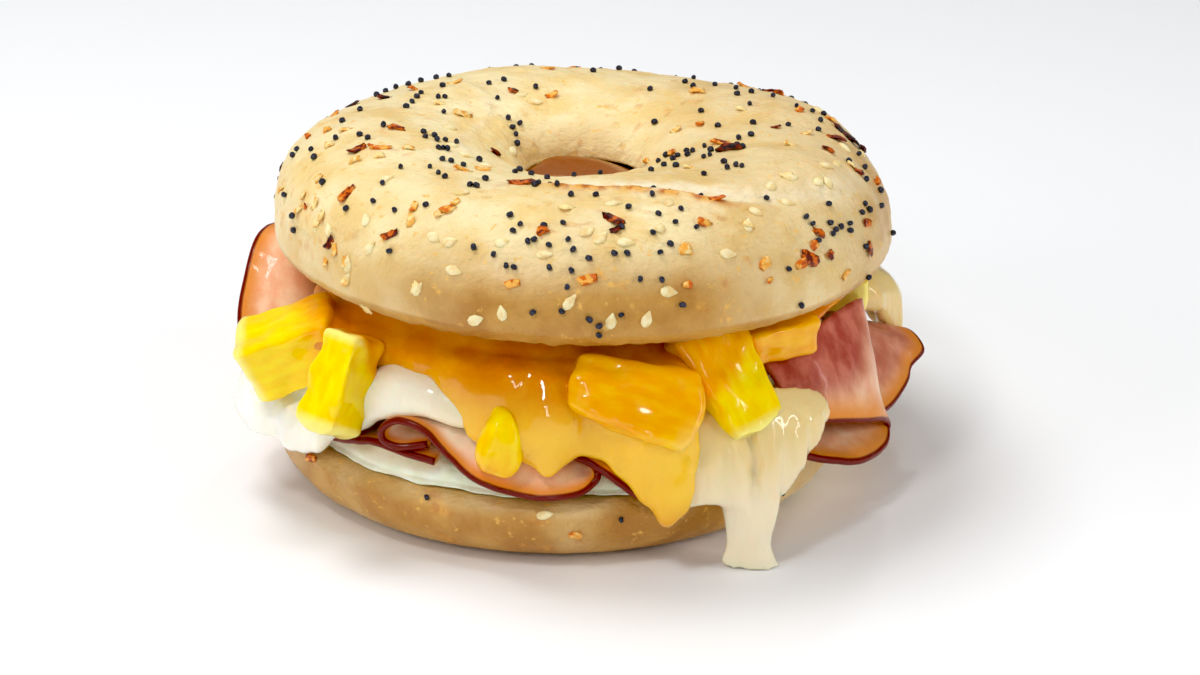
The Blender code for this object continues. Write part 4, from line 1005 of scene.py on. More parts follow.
def sheet_parts(columns, thickness, along=40, across=30):
    """Points and faces of a thick sheet through a net of points."""
    middle = np.array([through(row, across) for row in through(columns, along)])
    normal = np.cross(np.gradient(middle, axis=0), np.gradient(middle, axis=1))
    normal /= np.linalg.norm(normal, axis=2, keepdims=True)
    both = np.stack([middle - normal * thickness / 2, middle + normal * thickness / 2])
    index = np.arange(both[..., 0].size).reshape(both.shape[:3])
    faces = []
    for layer in index:
        squares = [layer[:-1, :-1], layer[1:, :-1], layer[1:, 1:], layer[:-1, 1:]]
        faces += np.stack(squares, 2).reshape(-1, 4).tolist()
    rims = [[layer[0], layer[-1], layer[:, 0], layer[:, -1]] for layer in index]
    for low_rim, high_rim in zip(*rims):
        faces += np.stack([low_rim[:-1], low_rim[1:], high_rim[1:], high_rim[:-1]], 1).tolist()
    return both.reshape(-1, 3), faces


VOXEL = 0.62


def welded(name, parts, smoothing):
    """Closed parts welded into one skin by a voxel Remesh and rounded: points in mm, faces, normals."""
    points, faces = [], []
    for part_points, part_faces in parts:
        faces += [tuple(int(i) + len(points) for i in face) for face in part_faces]
        points += [tuple(p) for p in np.asarray(part_points).tolist()]
    rough = new_piece(name + "_rough", points, faces, None)
    remesh = rough.modifiers.new("weld", "REMESH")
    remesh.mode = "VOXEL"
    remesh.voxel_size = VOXEL * MM
    soft = rough.modifiers.new("tension", "SMOOTH")
    soft.factor, soft.iterations = 0.5, smoothing
    graph = bpy.context.evaluated_depsgraph_get()
    mesh = bpy.data.meshes.new_from_object(rough.evaluated_get(graph))
    found = np.empty(len(mesh.vertices) * 3)
    mesh.vertices.foreach_get("co", found)
    found = (found.reshape(-1, 3) - HEEL_MIDDLE) / MM
    normals = np.empty(len(mesh.vertices) * 3, dtype=np.float32)
    mesh.vertex_normals.foreach_get("vector", normals)
    faces = [tuple(p.vertices) for p in mesh.polygons]
    bpy.data.objects.remove(rough)
    return found, faces, normals.reshape(-1, 3)


# %% [markdown]
# Each row of the next table is a bearing, the radius and height of the shoulder there, and the radius
# and height of the edge. The strand is a loft of ellipses, and the lobe a net of points by bearing.

# %% The white cheese
WHITE_MIDDLE, WHITE_UNDER, CHEESE_THICKNESS = 28.4, 24.8, 3.0
WHITE_EDGE = [
    (-90, 38.0, 28.3, 41.5, 25.0), (-84, 42.0, 26.0, 49.0, 21.0), (-78, 48.5, 22.8, 58.2, 14.6),
    (-69, 50.0, 21.6, 58.0, 12.6), (-59, 49.5, 21.3, 55.2, 12.6), (-52, 48.5, 22.6, 53.9, 13.8),
    (-45, 46.4, 29.6, 52.0, 17.6), (-37, 43.8, 31.8, 50.4, 22.8), (-28, 43.0, 31.4, 48.8, 24.6),
    (-19, 43.0, 29.8, 48.4, 23.4), (-8, 42.0, 28.0, 46.0, 24.0), (6, 42.0, 28.0, 46.0, 23.0),
    (15, 44.0, 27.8, 50.0, 17.5), (21, 46.0, 27.4, 55.2, 11.0), (26, 46.5, 27.2, 56.4, 12.2),
    (31, 47.0, 27.2, 57.8, 10.6), (38, 47.0, 27.2, 57.6, 10.6), (43, 45.5, 27.8, 52.0, 20.0),
    (50, 42.0, 28.2, 45.5, 25.2), (62, 40.0, 28.3, 43.5, 25.6), (80, 40.0, 28.3, 43.5, 25.6),
    (90, 43.0, 29.4, 47.0, 26.4), (95, 51.5, 30.6, 58.0, 24.4), (100, 55.0, 31.4, 63.2, 17.4),
    (108, 55.0, 31.4, 63.0, 16.2), (118, 52.5, 30.4, 59.5, 18.2), (131, 48.0, 29.4, 54.0, 22.6),
    (145, 44.5, 28.6, 49.0, 24.6), (160, 46.0, 28.0, 53.0, 18.0), (174, 47.0, 27.6, 55.2, 13.6),
    (188, 46.5, 27.8, 54.0, 16.4), (205, 44.0, 28.3, 49.0, 23.8), (226, 42.0, 28.3, 46.0, 25.0),
    (246, 39.0, 28.3, 42.0, 25.0),
]
STRAND = [
    (17.0, 31.6, -45.0, 5.4, 2.4), (12.5, 31.6, -46.6, 5.0, 2.4), (8.5, 31.7, -47.2, 4.5, 2.3),
    (4.5, 31.4, -47.4, 4.1, 2.2), (1.6, 31.6, -47.4, 4.6, 2.4), (0.0, 32.1, -47.4, 5.0, 2.4),
]
LOBE = [
    (35, [(50.5, 27.6), (55.8, 23.4), (58.0, 17.0), (57.9, 11.8)]),
    (40, [(51.5, 28.0), (56.2, 24.0), (58.0, 17.8), (57.9, 12.4)]),
    (45, [(52.8, 27.6), (56.4, 24.2), (57.9, 19.6), (57.8, 16.4)]),
    (49, [(54.0, 26.8), (56.6, 24.4), (57.8, 21.6), (57.7, 19.6)]),
    (52, [(55.4, 25.4), (56.8, 24.0), (57.5, 22.6), (57.6, 21.6)]),
]
lobe_net = [[polar(b, s, z) for s, z in places] for b, places in LOBE]
parts = [
    melted_slice(WHITE_EDGE, WHITE_MIDDLE, WHITE_UNDER, CHEESE_THICKNESS),
    sheet_parts(lobe_net, 2.4),
    stacked(STRAND),
]
points, faces, normals = welded("white", parts, smoothing=8)
# Upright runs where it hangs below 27 mm, finer ones to the right, and soft lumps all over
hang = ramp(-points[:, 2], -27.0, -20.0)
runs = waves(points, 3.2, 51, (1, 1, 0.22)) * 0.8 * hang
threads = waves(points, 1.8, 53, (1, 1, 0.35)) * (0.12 + 0.3 * ramp(points[:, 0], -30, 15)) * hang
flow = runs + threads + waves(points, 7.0, 52) * 0.4
points = points + normals * flow[:, None]
points[:, 2] = np.clip(points[:, 2], 0.0, None)
warm = 0.95 * ramp(points[:, 0], -58, 24) * (0.45 + 0.55 * ramp(points[:, 2], 6, 24))
warm = warm + 0.25 * ramp(points[:, 1], -20, 20)
new_piece("white_melt", points, faces, "white_cheese", ["white_cheese"], warm=warm)

# %% [markdown]
# The cheddar lies over it under the lid and fills the lid's hollow, so it swells up in the hole, where it
# is painted dark brown as shade. Three round pools are welded on where it has gathered.

# %% The cheddar
CHEDDAR_MIDDLE, CHEDDAR_UNDER = 40.0, 28.9
CHEDDAR_EDGE = [
    (-98, 37.5, 37.0, 41.0, 32.0), (-85, 38.0, 37.0, 41.5, 32.0), (-72, 41.0, 36.8, 45.0, 31.0),
    (-60, 42.5, 36.8, 47.0, 31.0), (-53, 43.0, 36.8, 47.4, 30.4), (-45, 42.5, 36.5, 46.2, 29.6),
    (-37, 41.5, 36.5, 45.0, 29.8), (-28, 41.5, 36.5, 45.2, 29.2), (-22, 42.5, 36.3, 47.2, 26.0),
    (-17, 43.5, 36.0, 49.4, 22.0), (-7, 44.0, 36.0, 51.0, 20.8), (-1.5, 44.0, 36.0, 52.8, 17.4),
    (3.5, 43.5, 36.0, 51.0, 21.4), (8, 43.0, 36.0, 50.8, 19.8), (12, 43.5, 36.0, 52.2, 17.0),
    (16, 44.0, 35.6, 55.0, 12.4), (18.8, 44.5, 35.5, 57.2, 8.8), (22.3, 44.5, 35.5, 57.2, 11.4),
    (25, 44.0, 35.6, 55.0, 20.0), (28, 43.5, 36.0, 51.0, 26.6), (33, 43.0, 36.3, 47.0, 30.2),
    (45, 43.0, 36.5, 46.5, 31.6), (56, 44.5, 36.8, 48.6, 33.0), (66, 47.0, 37.0, 51.0, 33.8),
    (76, 48.0, 37.0, 51.8, 34.2), (86, 46.0, 37.0, 49.0, 33.8), (100, 45.0, 37.0, 48.4, 33.0),
    (122, 44.5, 37.0, 48.4, 31.6), (140, 44.0, 36.8, 49.4, 28.0), (148, 44.0, 36.5, 52.4, 21.4),
    (156, 43.5, 36.8, 49.0, 29.0), (176, 43.0, 37.0, 46.5, 31.0), (194, 44.0, 36.8, 50.0, 27.4),
    (202, 44.0, 36.5, 52.6, 20.0), (210, 43.5, 36.8, 49.4, 28.6), (230, 42.5, 37.0, 46.0, 31.4),
    (248, 39.0, 37.0, 42.5, 32.0),
]
CHEDDAR_CROWN = ((5, 50.6), (9, 51.2), (11, 51.9), (14, 50.6), (22, 46.4), (33, 42.4), (40, 41.0))
# Where it has pooled over the fruit and swells above the drips
CHEDDAR_POOLS = [
    ((-36.5, -24.5, 33.0), (8.0, 6.5, 4.2)), ((-2.0, -47.6, 26.0), (7.6, 5.6, 7.6)),
    ((17.0, -46.0, 22.0), (5.6, 6.0, 7.0)),
]
parts = [melted_slice(CHEDDAR_EDGE, CHEDDAR_MIDDLE, CHEDDAR_UNDER, CHEESE_THICKNESS, CHEDDAR_CROWN)]
parts += [pool(*spec) for spec in CHEDDAR_POOLS]
points, faces, normals = welded("cheddar", parts, smoothing=14)
show = ramp(np.hypot(points[:, 0], points[:, 1]), 42, 45)
flow = waves(points, 6.0, 61) * 0.6 + waves(points, 2.8, 62, (1, 1, 0.5)) * 0.32
points = points + normals * (flow * show)[:, None]
# Yellow low down where it runs thin, deep orange up under the lid, partly painted shade, more orange again
# low on the drips
below_lid = 1 - ramp(points[:, 2], 24.0, 35.0)
thin = below_lid * (0.9 - 0.6 * ramp(-points[:, 2], -16.0, -9.0)) + waves(points, 9.0, 63) * 0.12
# Painted shade in the lid's hole, darkest at its middle
from_hole = np.hypot(points[:, 0] - LID_CENTRE[0], points[:, 1] - LID_CENTRE[1])
new_piece(
    "cheddar_melt", points, faces, "cheddar", ["cheddar_cheese"],
    thin=np.clip(thin, 0, 1), cooked=1 - ramp(from_hole, 13, 18),
)

# %% [markdown]
# ## Pineapple
#
# Each piece is a block with rounded edges, bowed where it was cut from the outside of the fruit, and
# narrower towards the core. The fibres run the long way, so each point carries its place in the block
# for the finish to read. Pieces beside the cheddar carry a coat of it.

# %% The table of the pieces
# Middle, long way, upward way, length, width, height, and the narrow end's share of the width
PINEAPPLE = [
    ((-44.6, -24.2, 30.0), (1.0, -0.10, 0.40), (-0.40, -0.25, 1.0), 16.0, 12.0, 10.8, 0.84),
    ((-36.0, -37.6, 29.2), (0.30, 0.34, 0.90), (-0.60, -0.76, 0.30), 15.4, 8.8, 7.8, 0.80),
    ((-9.2, -50.2, 24.4), (0.12, 0.15, 0.98), (0.10, -1.0, 0.10), 9.6, 8.4, 6.8, 0.50),
    ((11.8, -45.4, 28.8), (-0.95, 0.06, 0.26), (0.06, -0.80, 0.60), 19.4, 13.6, 12.0, 0.66),
    ((27.2, -38.8, 29.2), (0.50, -0.42, -0.76), (0.40, -0.58, 0.70), 19.0, 14.6, 9.8, 0.70),
    ((36.2, -28.4, 34.0), (0.85, 0.50, 0.0), (0.0, -0.15, 1.0), 12.5, 8.4, 5.6, 0.85),
    ((51.6, 3.6, 30.2), (0.20, 0.95, 0.10), (0.10, 0.0, 1.0), 9.0, 6.4, 6.8, 0.80),
    ((24.6, 43.6, 29.2), (0.85, -0.50, 0.10), (0.10, 0.50, 0.85), 16.5, 12.0, 9.6, 0.80),
    ((-10.5, 47.8, 28.6), (1.0, 0.20, -0.30), (0.20, 0.80, 0.60), 15.5, 11.0, 9.6, 0.78),
    ((-33.6, 36.6, 29.6), (0.60, 0.60, 0.50), (-0.40, 0.60, 0.70), 15.0, 10.4, 8.8, 0.80),
]
# Where the cheddar coats a piece: a direction, and how far along it the coat starts and is full
COATS = {
    1: ((0.9, 0.3, 0.2), -1.0, 4.5), 2: ((0.6, 0.6, 0.2), 2.5, 5.0),
    3: ((-0.6, 0.0, -0.8), -5.0, 9.0), 4: ((-0.3, 0.3, 0.9), -16.0, -3.0),
    5: ((-0.7, 0.1, 0.7), -1.0, 2.0), 6: ((0.0, 0.0, 1.0), -9.0, -7.0),
}
ROUND_PIECE = 3  # an end cut, nearly a ball
ROUND_EDGE, SOFT_EDGE, COAT_THICKNESS, CUTS = 0.75, 0.17, 0.35, 27
print(len(PINEAPPLE), "pieces,", len(COATS), "of them coated")

# %% Cut and place the pieces


def cut_block(number, spec):
    """One piece of fruit: points, faces and the values that it carries."""
    centre, along, up, length, width, height, taper = spec
    long_axis = Vector(along).normalized()
    side_axis = Vector(up).cross(long_axis).normalized()
    up_axis = long_axis.cross(side_axis)
    bm = bmesh.new()
    bmesh.ops.create_cube(bm, size=1.0)
    bmesh.ops.subdivide_edges(bm, edges=bm.edges, cuts=CUTS, use_grid_fill=True)
    unit, faces = points_and_faces(bm)
    half = np.array((length, width, height)) / 2
    soft = (ROUND_EDGE if number == ROUND_PIECE else SOFT_EDGE) * half.min()
    block = unit * 2 * half
    core = np.clip(block, -(half - soft), half - soft)
    away = block - core
    skin_out = unit_long(away, 1e-9)
    block = core + skin_out * soft
    share = block[:, 0] / length + 0.5
    narrow = 1 + (taper - 1) * share
    bow = 0.10 * (1 - (2 * block[:, 1] / width) ** 2) * length
    bow = np.where(block[:, 0] < 0, -bow, 0.3 * bow) * np.abs(block[:, 0] / half[0]) ** 2
    block[:, 1] *= narrow
    block[:, 2] *= 0.9 + 0.1 * narrow
    block[:, 0] += bow
    shift = np.array((number * 31.0, number * 17.0, 0))
    fibre = waves(block + shift, 1.2, 0, (0.25, 0.9, 0.9)) * 0.08 + waves(block + shift, 3.8) * 0.65
    block = block + skin_out * fibre[:, None]
    ends = ramp(np.abs(block[:, 0]) / half[0], 0.8, 1.0) * (number != ROUND_PIECE)
    turn = np.array((long_axis, side_axis, up_axis))
    placed = block @ turn + np.array(centre)
    coat = np.zeros(len(placed))
    if number in COATS:
        way, start, full = COATS[number]
        way = np.array(Vector(way).normalized())
        depth = (placed - np.array(centre)) @ way + waves(placed, 3.0, 70) * 1.2
        coat = ramp(depth, start, full)
    placed = placed + (skin_out @ turn) * (COAT_THICKNESS * coat)[:, None]
    return placed, faces, {"ends": ends, "coat": coat, "grain": block + shift}


for number, spec in enumerate(PINEAPPLE, 1):
    placed, faces, values = cut_block(number, spec)
    new_piece(f"pineapple_piece_{number}", placed, faces, "pineapple", [f"pineapple_{number}"], **values)

# %% [markdown]
# ## Seeds and flakes
#
# About four hundred seeds and a hundred and twenty flakes lie on the crust. In front, the places are
# picked on the picture, and a ray through each finds the crust behind it. On the sides that
# this camera doesn't see, random places with a fixed seed go on at about the same density. A point
# with its outward direction, size, turn and tone is all that a topping needs.

# %% Places picked on the front
# Poppy seeds: place in the picture. Sesame seeds: place and turn in radians
POPPY_PLACES = """392,85 383,90 372,93 406,83 421,82 437,79 449,77 421,94 417,98 438,98 445,98 412,103
406,108 443,87 443,113 489,84 504,81 536,88 497,99 508,119 519,124 512,128 515,135 516,144 360,111
343,122 383,126 360,136 368,139 336,139 312,150 315,158 298,150 294,156 423,133 425,138 434,137 437,141
445,141 457,143 438,149 443,149 447,150 442,160 451,162 463,166 479,161 430,168 438,174 445,178 400,168
324,183 383,184 485,180 470,186 476,187 515,173 519,171 531,175 535,186 539,184 547,179 557,185 574,176
571,196 286,195 374,202 347,209 395,211 426,206 294,216 295,230 510,216 520,225 513,232 528,242 534,240
544,227 563,224 568,240 549,246 573,250 589,259 474,248 494,255 390,251 506,266 514,268 550,268 571,271
567,287 533,312 562,311 589,319 593,72 619,70 693,79 685,83 693,87 715,86 736,89 737,95 751,93 773,97
750,105 701,112 650,90 655,123 718,127 753,124 751,136 739,139 737,146 743,148 705,147 711,151 710,156
704,158 687,152 693,152 688,156 678,157 667,156 673,160 659,162 664,166 676,167 651,171 601,173 724,163
727,169 736,166 742,167 704,175 796,107 788,126 818,131 820,121 823,115 812,112 858,155 848,162 864,168
865,180 879,191 864,204 880,206 868,210 861,213 828,205 805,217 812,224 829,223 840,227 835,230 832,234
849,224 849,231 817,241 891,233 864,246 867,277 800,305 788,269 596,196 652,195 628,208 658,215 675,223
681,210 696,228 653,233 622,228 766,199 670,245 660,253 614,254 627,254 640,279 661,280 621,315 682,305
599,325 599,334 427,498 621,519 781,492"""
SESAME_PLACES = """450,128,0.2 432,133,1.2 453,146,0.4 467,156,0.1 522,95,0.6 535,102,0.2 513,151,1.5
488,166,0.1 462,193,0.3 502,243,0.1 545,255,0.0 454,271,-0.5 418,289,0.4 502,313,1.5 570,302,0.9
366,220,1.6 386,179,0.4 370,248,0.2 434,238,-0.9 450,242,0.2 587,232,0.6 348,264,1.1 347,279,0.4
329,230,1.4 317,224,0.8 476,320,0.0 614,204,0.2 601,238,0.9 669,203,1.5 660,228,1.4 748,225,1.6
771,186,1.5 788,203,0.1 792,178,0.6 826,166,0.1 837,164,1.3 819,181,1.2 828,183,-1.2 611,321,1.5
647,319,1.5 669,292,0.1 626,243,0.0 845,148,-0.9 862,154,1.2 819,111,-0.8 728,254,0.3 756,212,-0.4
545,515,0.2"""
# Onion flakes: place, turn, length and width in millimetres, and tone
FLAKE_PLACES = """350,105,0.3,2.6,1.6,1.0 384,98,0.3,2.4,1.3,0.85 413,90,0.1,2.0,1.1,0.45
335,115,0.7,2.0,1.3,0.35 309,137,0.5,1.2,0.8,0.4 357,150,0.6,3.2,2.3,0.72 379,148,0.0,3.8,1.4,0.3
397,129,0.2,3.4,1.5,0.45 346,194,0.8,3.4,2.0,0.42 390,235,0.0,2.9,1.5,0.62 330,243,0.4,2.3,1.7,0.8
306,207,0.5,1.0,0.8,0.6 513,91,0.9,2.2,1.8,0.66 547,69,0.0,2.6,1.2,0.25 551,96,0.3,2.2,1.5,0.15
495,154,1.3,2.4,1.9,0.72 520,183,0.1,4.4,2.6,0.6 543,232,0.7,2.3,1.5,0.45 512,284,0.2,2.4,1.5,0.25
587,280,0.3,3.0,1.8,0.22 414,208,1.2,2.0,1.4,0.08 448,210,0.6,2.6,1.8,0.05 613,220,2.5,3.8,2.0,0.72
614,231,0.2,1.6,1.3,0.85 704,223,0.3,2.4,1.8,0.2 700,124,1.3,2.2,1.6,0.28 671,153,1.4,2.4,1.7,0.18
731,149,0.0,5.2,2.0,0.88 721,143,0.0,3.8,1.4,0.4 744,85,0.0,2.2,1.2,0.3 769,90,2.9,2.6,1.8,0.9
778,94,2.8,2.0,1.3,0.4 799,111,0.8,1.5,1.4,0.3 831,121,2.4,2.6,2.0,0.12 845,134,2.6,4.6,2.8,1.0
836,139,2.8,3.8,2.4,0.62 853,143,2.6,3.0,2.2,1.0 863,149,2.4,1.8,1.5,1.0 827,150,2.3,3.0,1.3,0.8
775,128,0.0,1.7,1.0,0.7 858,172,0.3,2.2,1.6,0.72 876,182,1.2,1.6,1.4,0.45 866,223,0.8,2.1,1.6,0.55
818,233,2.9,2.4,1.5,0.6 814,245,1.3,1.9,1.4,0.25 808,258,0.1,3.8,2.2,0.62 800,265,0.9,2.2,1.4,0.3
830,255,1.2,2.2,1.5,0.62 869,249,1.5,2.6,2.4,0.55 764,265,1.2,2.2,1.6,0.04 688,285,0.1,1.7,1.1,0.12
698,92,0.1,3.2,2.0,0.02 716,199,0.1,2.6,1.2,0.3 313,458,2.3,2.6,1.3,0.35 575,535,0.2,2.2,1.6,0.1
300,210,0.2,2.2,1.2,-0.1 315,205,0.3,2.0,1.2,-0.2 323,215,1.3,2.4,1.1,-0.3 318,223,0.4,2.0,1.2,-0.3
335,250,1.2,2.2,1.2,-0.1 326,262,1.5,1.6,1.1,-0.1 345,262,1.0,1.8,1.2,-0.2 347,281,0.3,2.0,1.4,-0.1
411,222,1.1,2.2,1.4,-0.2 440,214,0.7,2.2,1.3,-0.2 455,203,0.9,1.8,1.2,-0.1 416,288,0.7,2.2,1.8,-0.5
283,190,1.2,2.0,0.9,-0.1 305,195,1.2,2.2,0.8,-0.1 320,179,0.6,2.0,0.9,-0.2 345,130,0.3,2.2,1.1,-0.2
328,131,0.3,1.8,1.0,-0.1 356,161,0.1,2.6,1.0,-0.3 380,157,0.2,2.2,1.0,-0.3 409,149,0.1,2.4,1.0,-0.2
462,170,0.1,3.0,1.4,0.0 482,170,0.0,2.6,1.3,0.0 454,83,0.1,2.8,1.8,-0.1 462,114,0.4,3.2,2.2,-0.1
440,104,0.2,2.2,1.3,-0.3 741,110,0.1,2.0,1.0,-0.6 675,131,0.2,2.0,1.2,-0.3 790,145,0.2,2.4,1.2,-0.2
806,134,0.2,2.0,1.0,-0.1 851,166,0.8,1.8,1.4,-0.4 786,176,0.4,2.2,1.8,-0.5 690,168,0.1,2.4,1.2,-0.3
647,161,2.0,2.4,0.9,0.0 686,250,0.3,2.4,1.8,-0.1 357,311,1.2,2.6,1.8,-0.6 748,225,1.4,1.9,1.7,-0.4
770,280,0.9,1.6,0.8,0.1 845,275,1.4,2.2,1.2,-0.1 567,209,0.4,2.6,1.2,-0.4 330,146,0.3,2.0,1.0,-0.2"""


# %% Finding the crust behind a place


def search_tree(piece):
    """The piece's surface, ready for finding where a ray meets it."""
    mesh = piece.data
    return BVHTree.FromPolygons([v.co for v in mesh.vertices], [tuple(p.vertices) for p in mesh.polygons])


crusts = [search_tree(piece) for piece in (crust_top, crust_bottom)]
eye = camera.location
PULL_TO, PULL_STEP, PULLS = (580, 230), 0.008, 8


def crust_behind(x, y):
    """The crust behind a place in the picture: point and outward direction, or nothing.

    A place that just misses the rim is pulled towards the middle of the lid, step by step."""
    for pull in range(PULLS):
        share = PULL_STEP * pull
        way = sight(x + (PULL_TO[0] - x) * share, y + (PULL_TO[1] - y) * share)
        hits = [crust.ray_cast(eye, way) for crust in crusts]
        hits = [hit for hit in hits if hit[0] is not None]
        if hits:
            return min(hits, key=lambda hit: hit[3])[:2]
    return None


def on_crust(text):
    """Point and outward direction of each place that has crust behind it, with the place's numbers."""
    for x, y, *numbers in picked(text):
        found = crust_behind(x, y)
        if found:
            yield found, numbers


# Random places start above the crown or beside the flank, in millimetres
HOLE_EDGE, RIM, CROWN_RIM, ABOVE, BESIDE, FLANK = 15.0, 56.0, 50, 75.0, 90.0, (42.0, 50.0)
MOST_TRIES, LIFT = 20000, 0.5


def unseen_places(count, apart, draw, taken):
    """Random places on the outside of the lid, some mm apart, that the camera doesn't see."""
    found, tries = [], 0
    while len(found) < count and tries < MOST_TRIES:
        tries += 1
        bearing, radius = draw.uniform(0, 360), math.sqrt(draw.uniform(HOLE_EDGE**2, RIM**2))
        if radius < CROWN_RIM:
            start, way = polar(bearing, radius, ABOVE), Vector((0, 0, -1))
        else:
            start = polar(bearing, BESIDE, draw.uniform(*FLANK))
            way = -Vector(polar(bearing, 1.0, 0.0)).normalized()
        start = start + np.array((*LID_CENTRE[:2], 0))
        hit, normal, _, _ = crusts[0].ray_cast(Vector(start * MM + HEEL_MIDDLE), way)
        if hit is None or normal.z < -0.1:
            continue
        lifted = hit + normal * LIFT * MM
        seen = crusts[0].ray_cast(lifted, (eye - lifted).normalized())[0] is None
        if seen or any((hit - other).length < apart * MM for other in taken):
            continue
        taken.append(hit)
        found.append((hit, normal))
    return found


# %% [markdown]
# Each kind of topping is a small mesh with a few dozen faces. The tree below stands one of its shapes
# on every point, turned to the point's outward direction, makes real mesh of them and gives the finish.

# %% A tree that sets shapes on points


def topping_tree():
    """Geometry Nodes: shapes from a collection on the points of a mesh."""
    tree = bpy.data.node_groups.new("toppings_on_points", "GeometryNodeTree")
    for name, kind in (
        ("Points", "NodeSocketGeometry"), ("Shapes", "NodeSocketCollection"),
        ("Finish", "NodeSocketMaterial"), ("Last shape", "NodeSocketInt"), ("Seed", "NodeSocketInt"),
    ):
        tree.interface.new_socket(name, in_out="INPUT", socket_type=kind)
    tree.interface.new_socket("Toppings", in_out="OUTPUT", socket_type="NodeSocketGeometry")
    given = add(tree, "NodeGroupInput").outputs
    read = {}
    for name, kind in (("out", "FLOAT_VECTOR"), ("size", "FLOAT_VECTOR"), ("turn", "FLOAT")):
        found = add(tree, "GeometryNodeInputNamedAttribute", {"Name": name}, data_type=kind)
        read[name] = next(o for o in found.outputs if o.enabled and o.name == "Attribute")
    stand = add(tree, "FunctionNodeAlignRotationToVector", {"Vector": read["out"]}, axis="Z")
    spin = add(tree, "FunctionNodeAxisAngleToRotation", {"Axis": (0, 0, 1), "Angle": read["turn"]})
    turned = add(
        tree, "FunctionNodeRotateRotation",
        {"Rotation": stand.outputs[0], "Rotate By": spin.outputs[0]}, rotation_space="LOCAL",
    )
    shapes = add(
        tree, "GeometryNodeCollectionInfo",
        {"Collection": given["Shapes"], "Separate Children": True, "Reset Children": True},
    )
    pick = add(tree, "FunctionNodeRandomValue", data_type="INT")
    for socket in pick.inputs:
        if socket.enabled and socket.name == "Min":
            socket.default_value = 0
        if socket.enabled and socket.name == "Max":
            tree.links.new(given["Last shape"], socket)
        if socket.enabled and socket.name == "Seed":
            tree.links.new(given["Seed"], socket)
    index = next(o for o in pick.outputs if o.enabled)
    placed = add(tree, "GeometryNodeInstanceOnPoints", {
        "Points": given["Points"], "Instance": shapes.outputs[0], "Pick Instance": True,
        "Instance Index": index, "Rotation": turned.outputs[0], "Scale": read["size"],
    })
    real = add(tree, "GeometryNodeRealizeInstances", {"Geometry": placed.outputs[0]})
    inputs = {"Geometry": real.outputs[0], "Material": given["Finish"]}
    finished = add(tree, "GeometryNodeSetMaterial", inputs)
    add(tree, "NodeGroupOutput", {"Toppings": finished.outputs[0]})
    return tree


TREE = topping_tree()
print("tree with", len(TREE.nodes), "nodes")

# %% Running the tree on a list of places


def set_on_points(name, shapes, places, slot, seed):
    """Runs the tree on a list of places and keeps the result as a plain mesh."""
    group = bpy.data.collections.new(name + "_shapes")
    for number, (points, faces) in enumerate(shapes):
        mesh = bpy.data.meshes.new(f"{name}_shape_{number}")
        mesh.from_pydata([tuple(p) for p in points], [], faces)
        mesh.shade_smooth()
        group.objects.link(bpy.data.objects.new(f"{name}_shape_{number}", mesh))
    mesh = bpy.data.meshes.new(name + "_points")
    mesh.from_pydata([tuple(p["at"]) for p in places], [], [])
    for key, kind, field in (
        ("out", "FLOAT_VECTOR", "vector"), ("size", "FLOAT_VECTOR", "vector"),
        ("turn", "FLOAT", "value"), ("tone", "FLOAT", "value"),
    ):
        numbers = np.array([p[key] for p in places], dtype=np.float32).ravel()
        mesh.attributes.new(key, kind, "POINT").data.foreach_set(field, numbers)
    carrier = bpy.data.objects.new(name + "_points", mesh)
    bpy.context.scene.collection.objects.link(carrier)
    modifier = carrier.modifiers.new("toppings", "NODES")
    modifier.node_group = TREE
    sockets = {item.name: item.identifier for item in TREE.interface.items_tree if item.in_out == "INPUT"}
    modifier[sockets["Shapes"]] = group
    modifier[sockets["Finish"]] = bpy.data.materials[slot]
    modifier[sockets["Last shape"]] = len(shapes) - 1
    modifier[sockets["Seed"]] = seed
    graph = bpy.context.evaluated_depsgraph_get()
    result = bpy.data.meshes.new_from_object(carrier.evaluated_get(graph))
    result.name = name
    bpy.data.objects.remove(carrier)
    for shape in list(group.objects):
        bpy.data.objects.remove(shape)
    bpy.data.collections.remove(group)
    piece = bpy.data.objects.new(name, result)
    bpy.context.scene.collection.objects.link(piece)
    dress(piece, slot)
    print(f"{name}: {len(places)} placed")


# %% [markdown]
# A poppy seed is a tiny kidney, a sesame seed a flat teardrop and a flake a torn, curled scrap. All
# three start from the same ball of 80 faces. Noise with another seed makes a few of each, so that no
# two neighbours look alike.

# %% Shapes of the seeds and flakes


def ball():
    """A round mesh one unit across."""
    bm = bmesh.new()
    bmesh.ops.create_icosphere(bm, subdivisions=2, radius=0.5)
    return points_and_faces(bm)


def poppy_shape(seed):
    """A small kidney: a ball with a dent in one side."""
    points, faces = ball()
    dent = bump_at(points[:, 0], 0, 0.22) * ramp(points[:, 1], 0.0, 0.5)
    points[:, 1] -= dent * 0.16
    points += waves(points, 0.3, seed)[:, None] * points * 0.12
    return points * (1.0, 0.86, 0.84), faces


def sesame_shape(seed):
    """A flat teardrop."""
    points, faces = ball()
    narrow = 1.0 - 0.62 * ramp(points[:, 0], -0.12, 0.5)
    points[:, 1] *= narrow
    points[:, 2] *= 0.9 * narrow**0.4
    points += waves(points, 0.5, seed)[:, None] * points * 0.10
    return points, faces


def flake_shape(seed):
    """A torn scrap of dried onion: thick, bent and ragged."""
    points, faces = ball()
    points = np.sign(points) * np.abs(points * 2) ** 0.75 / 2
    ragged = 1 + waves(points, 0.35, seed) * 0.7
    points[:, :2] *= ragged[:, None]
    curl = 0.3 * np.cos(points[:, 0] * 4.0 + seed)
    points[:, 2] = points[:, 2] * 0.6 + curl + waves(points, 0.3, seed + 9) * 0.3
    return points, faces


# %% Flakes first, then the seeds between them
DRAW_SEED = 17
# How many more places on the sides that the camera doesn't see, and how far apart in millimetres
UNSEEN_FLAKES, UNSEEN_SESAME, UNSEEN_POPPY = (26, 4.0), (36, 3.2), (130, 1.7)
draw = random.Random(DRAW_SEED)
taken = []


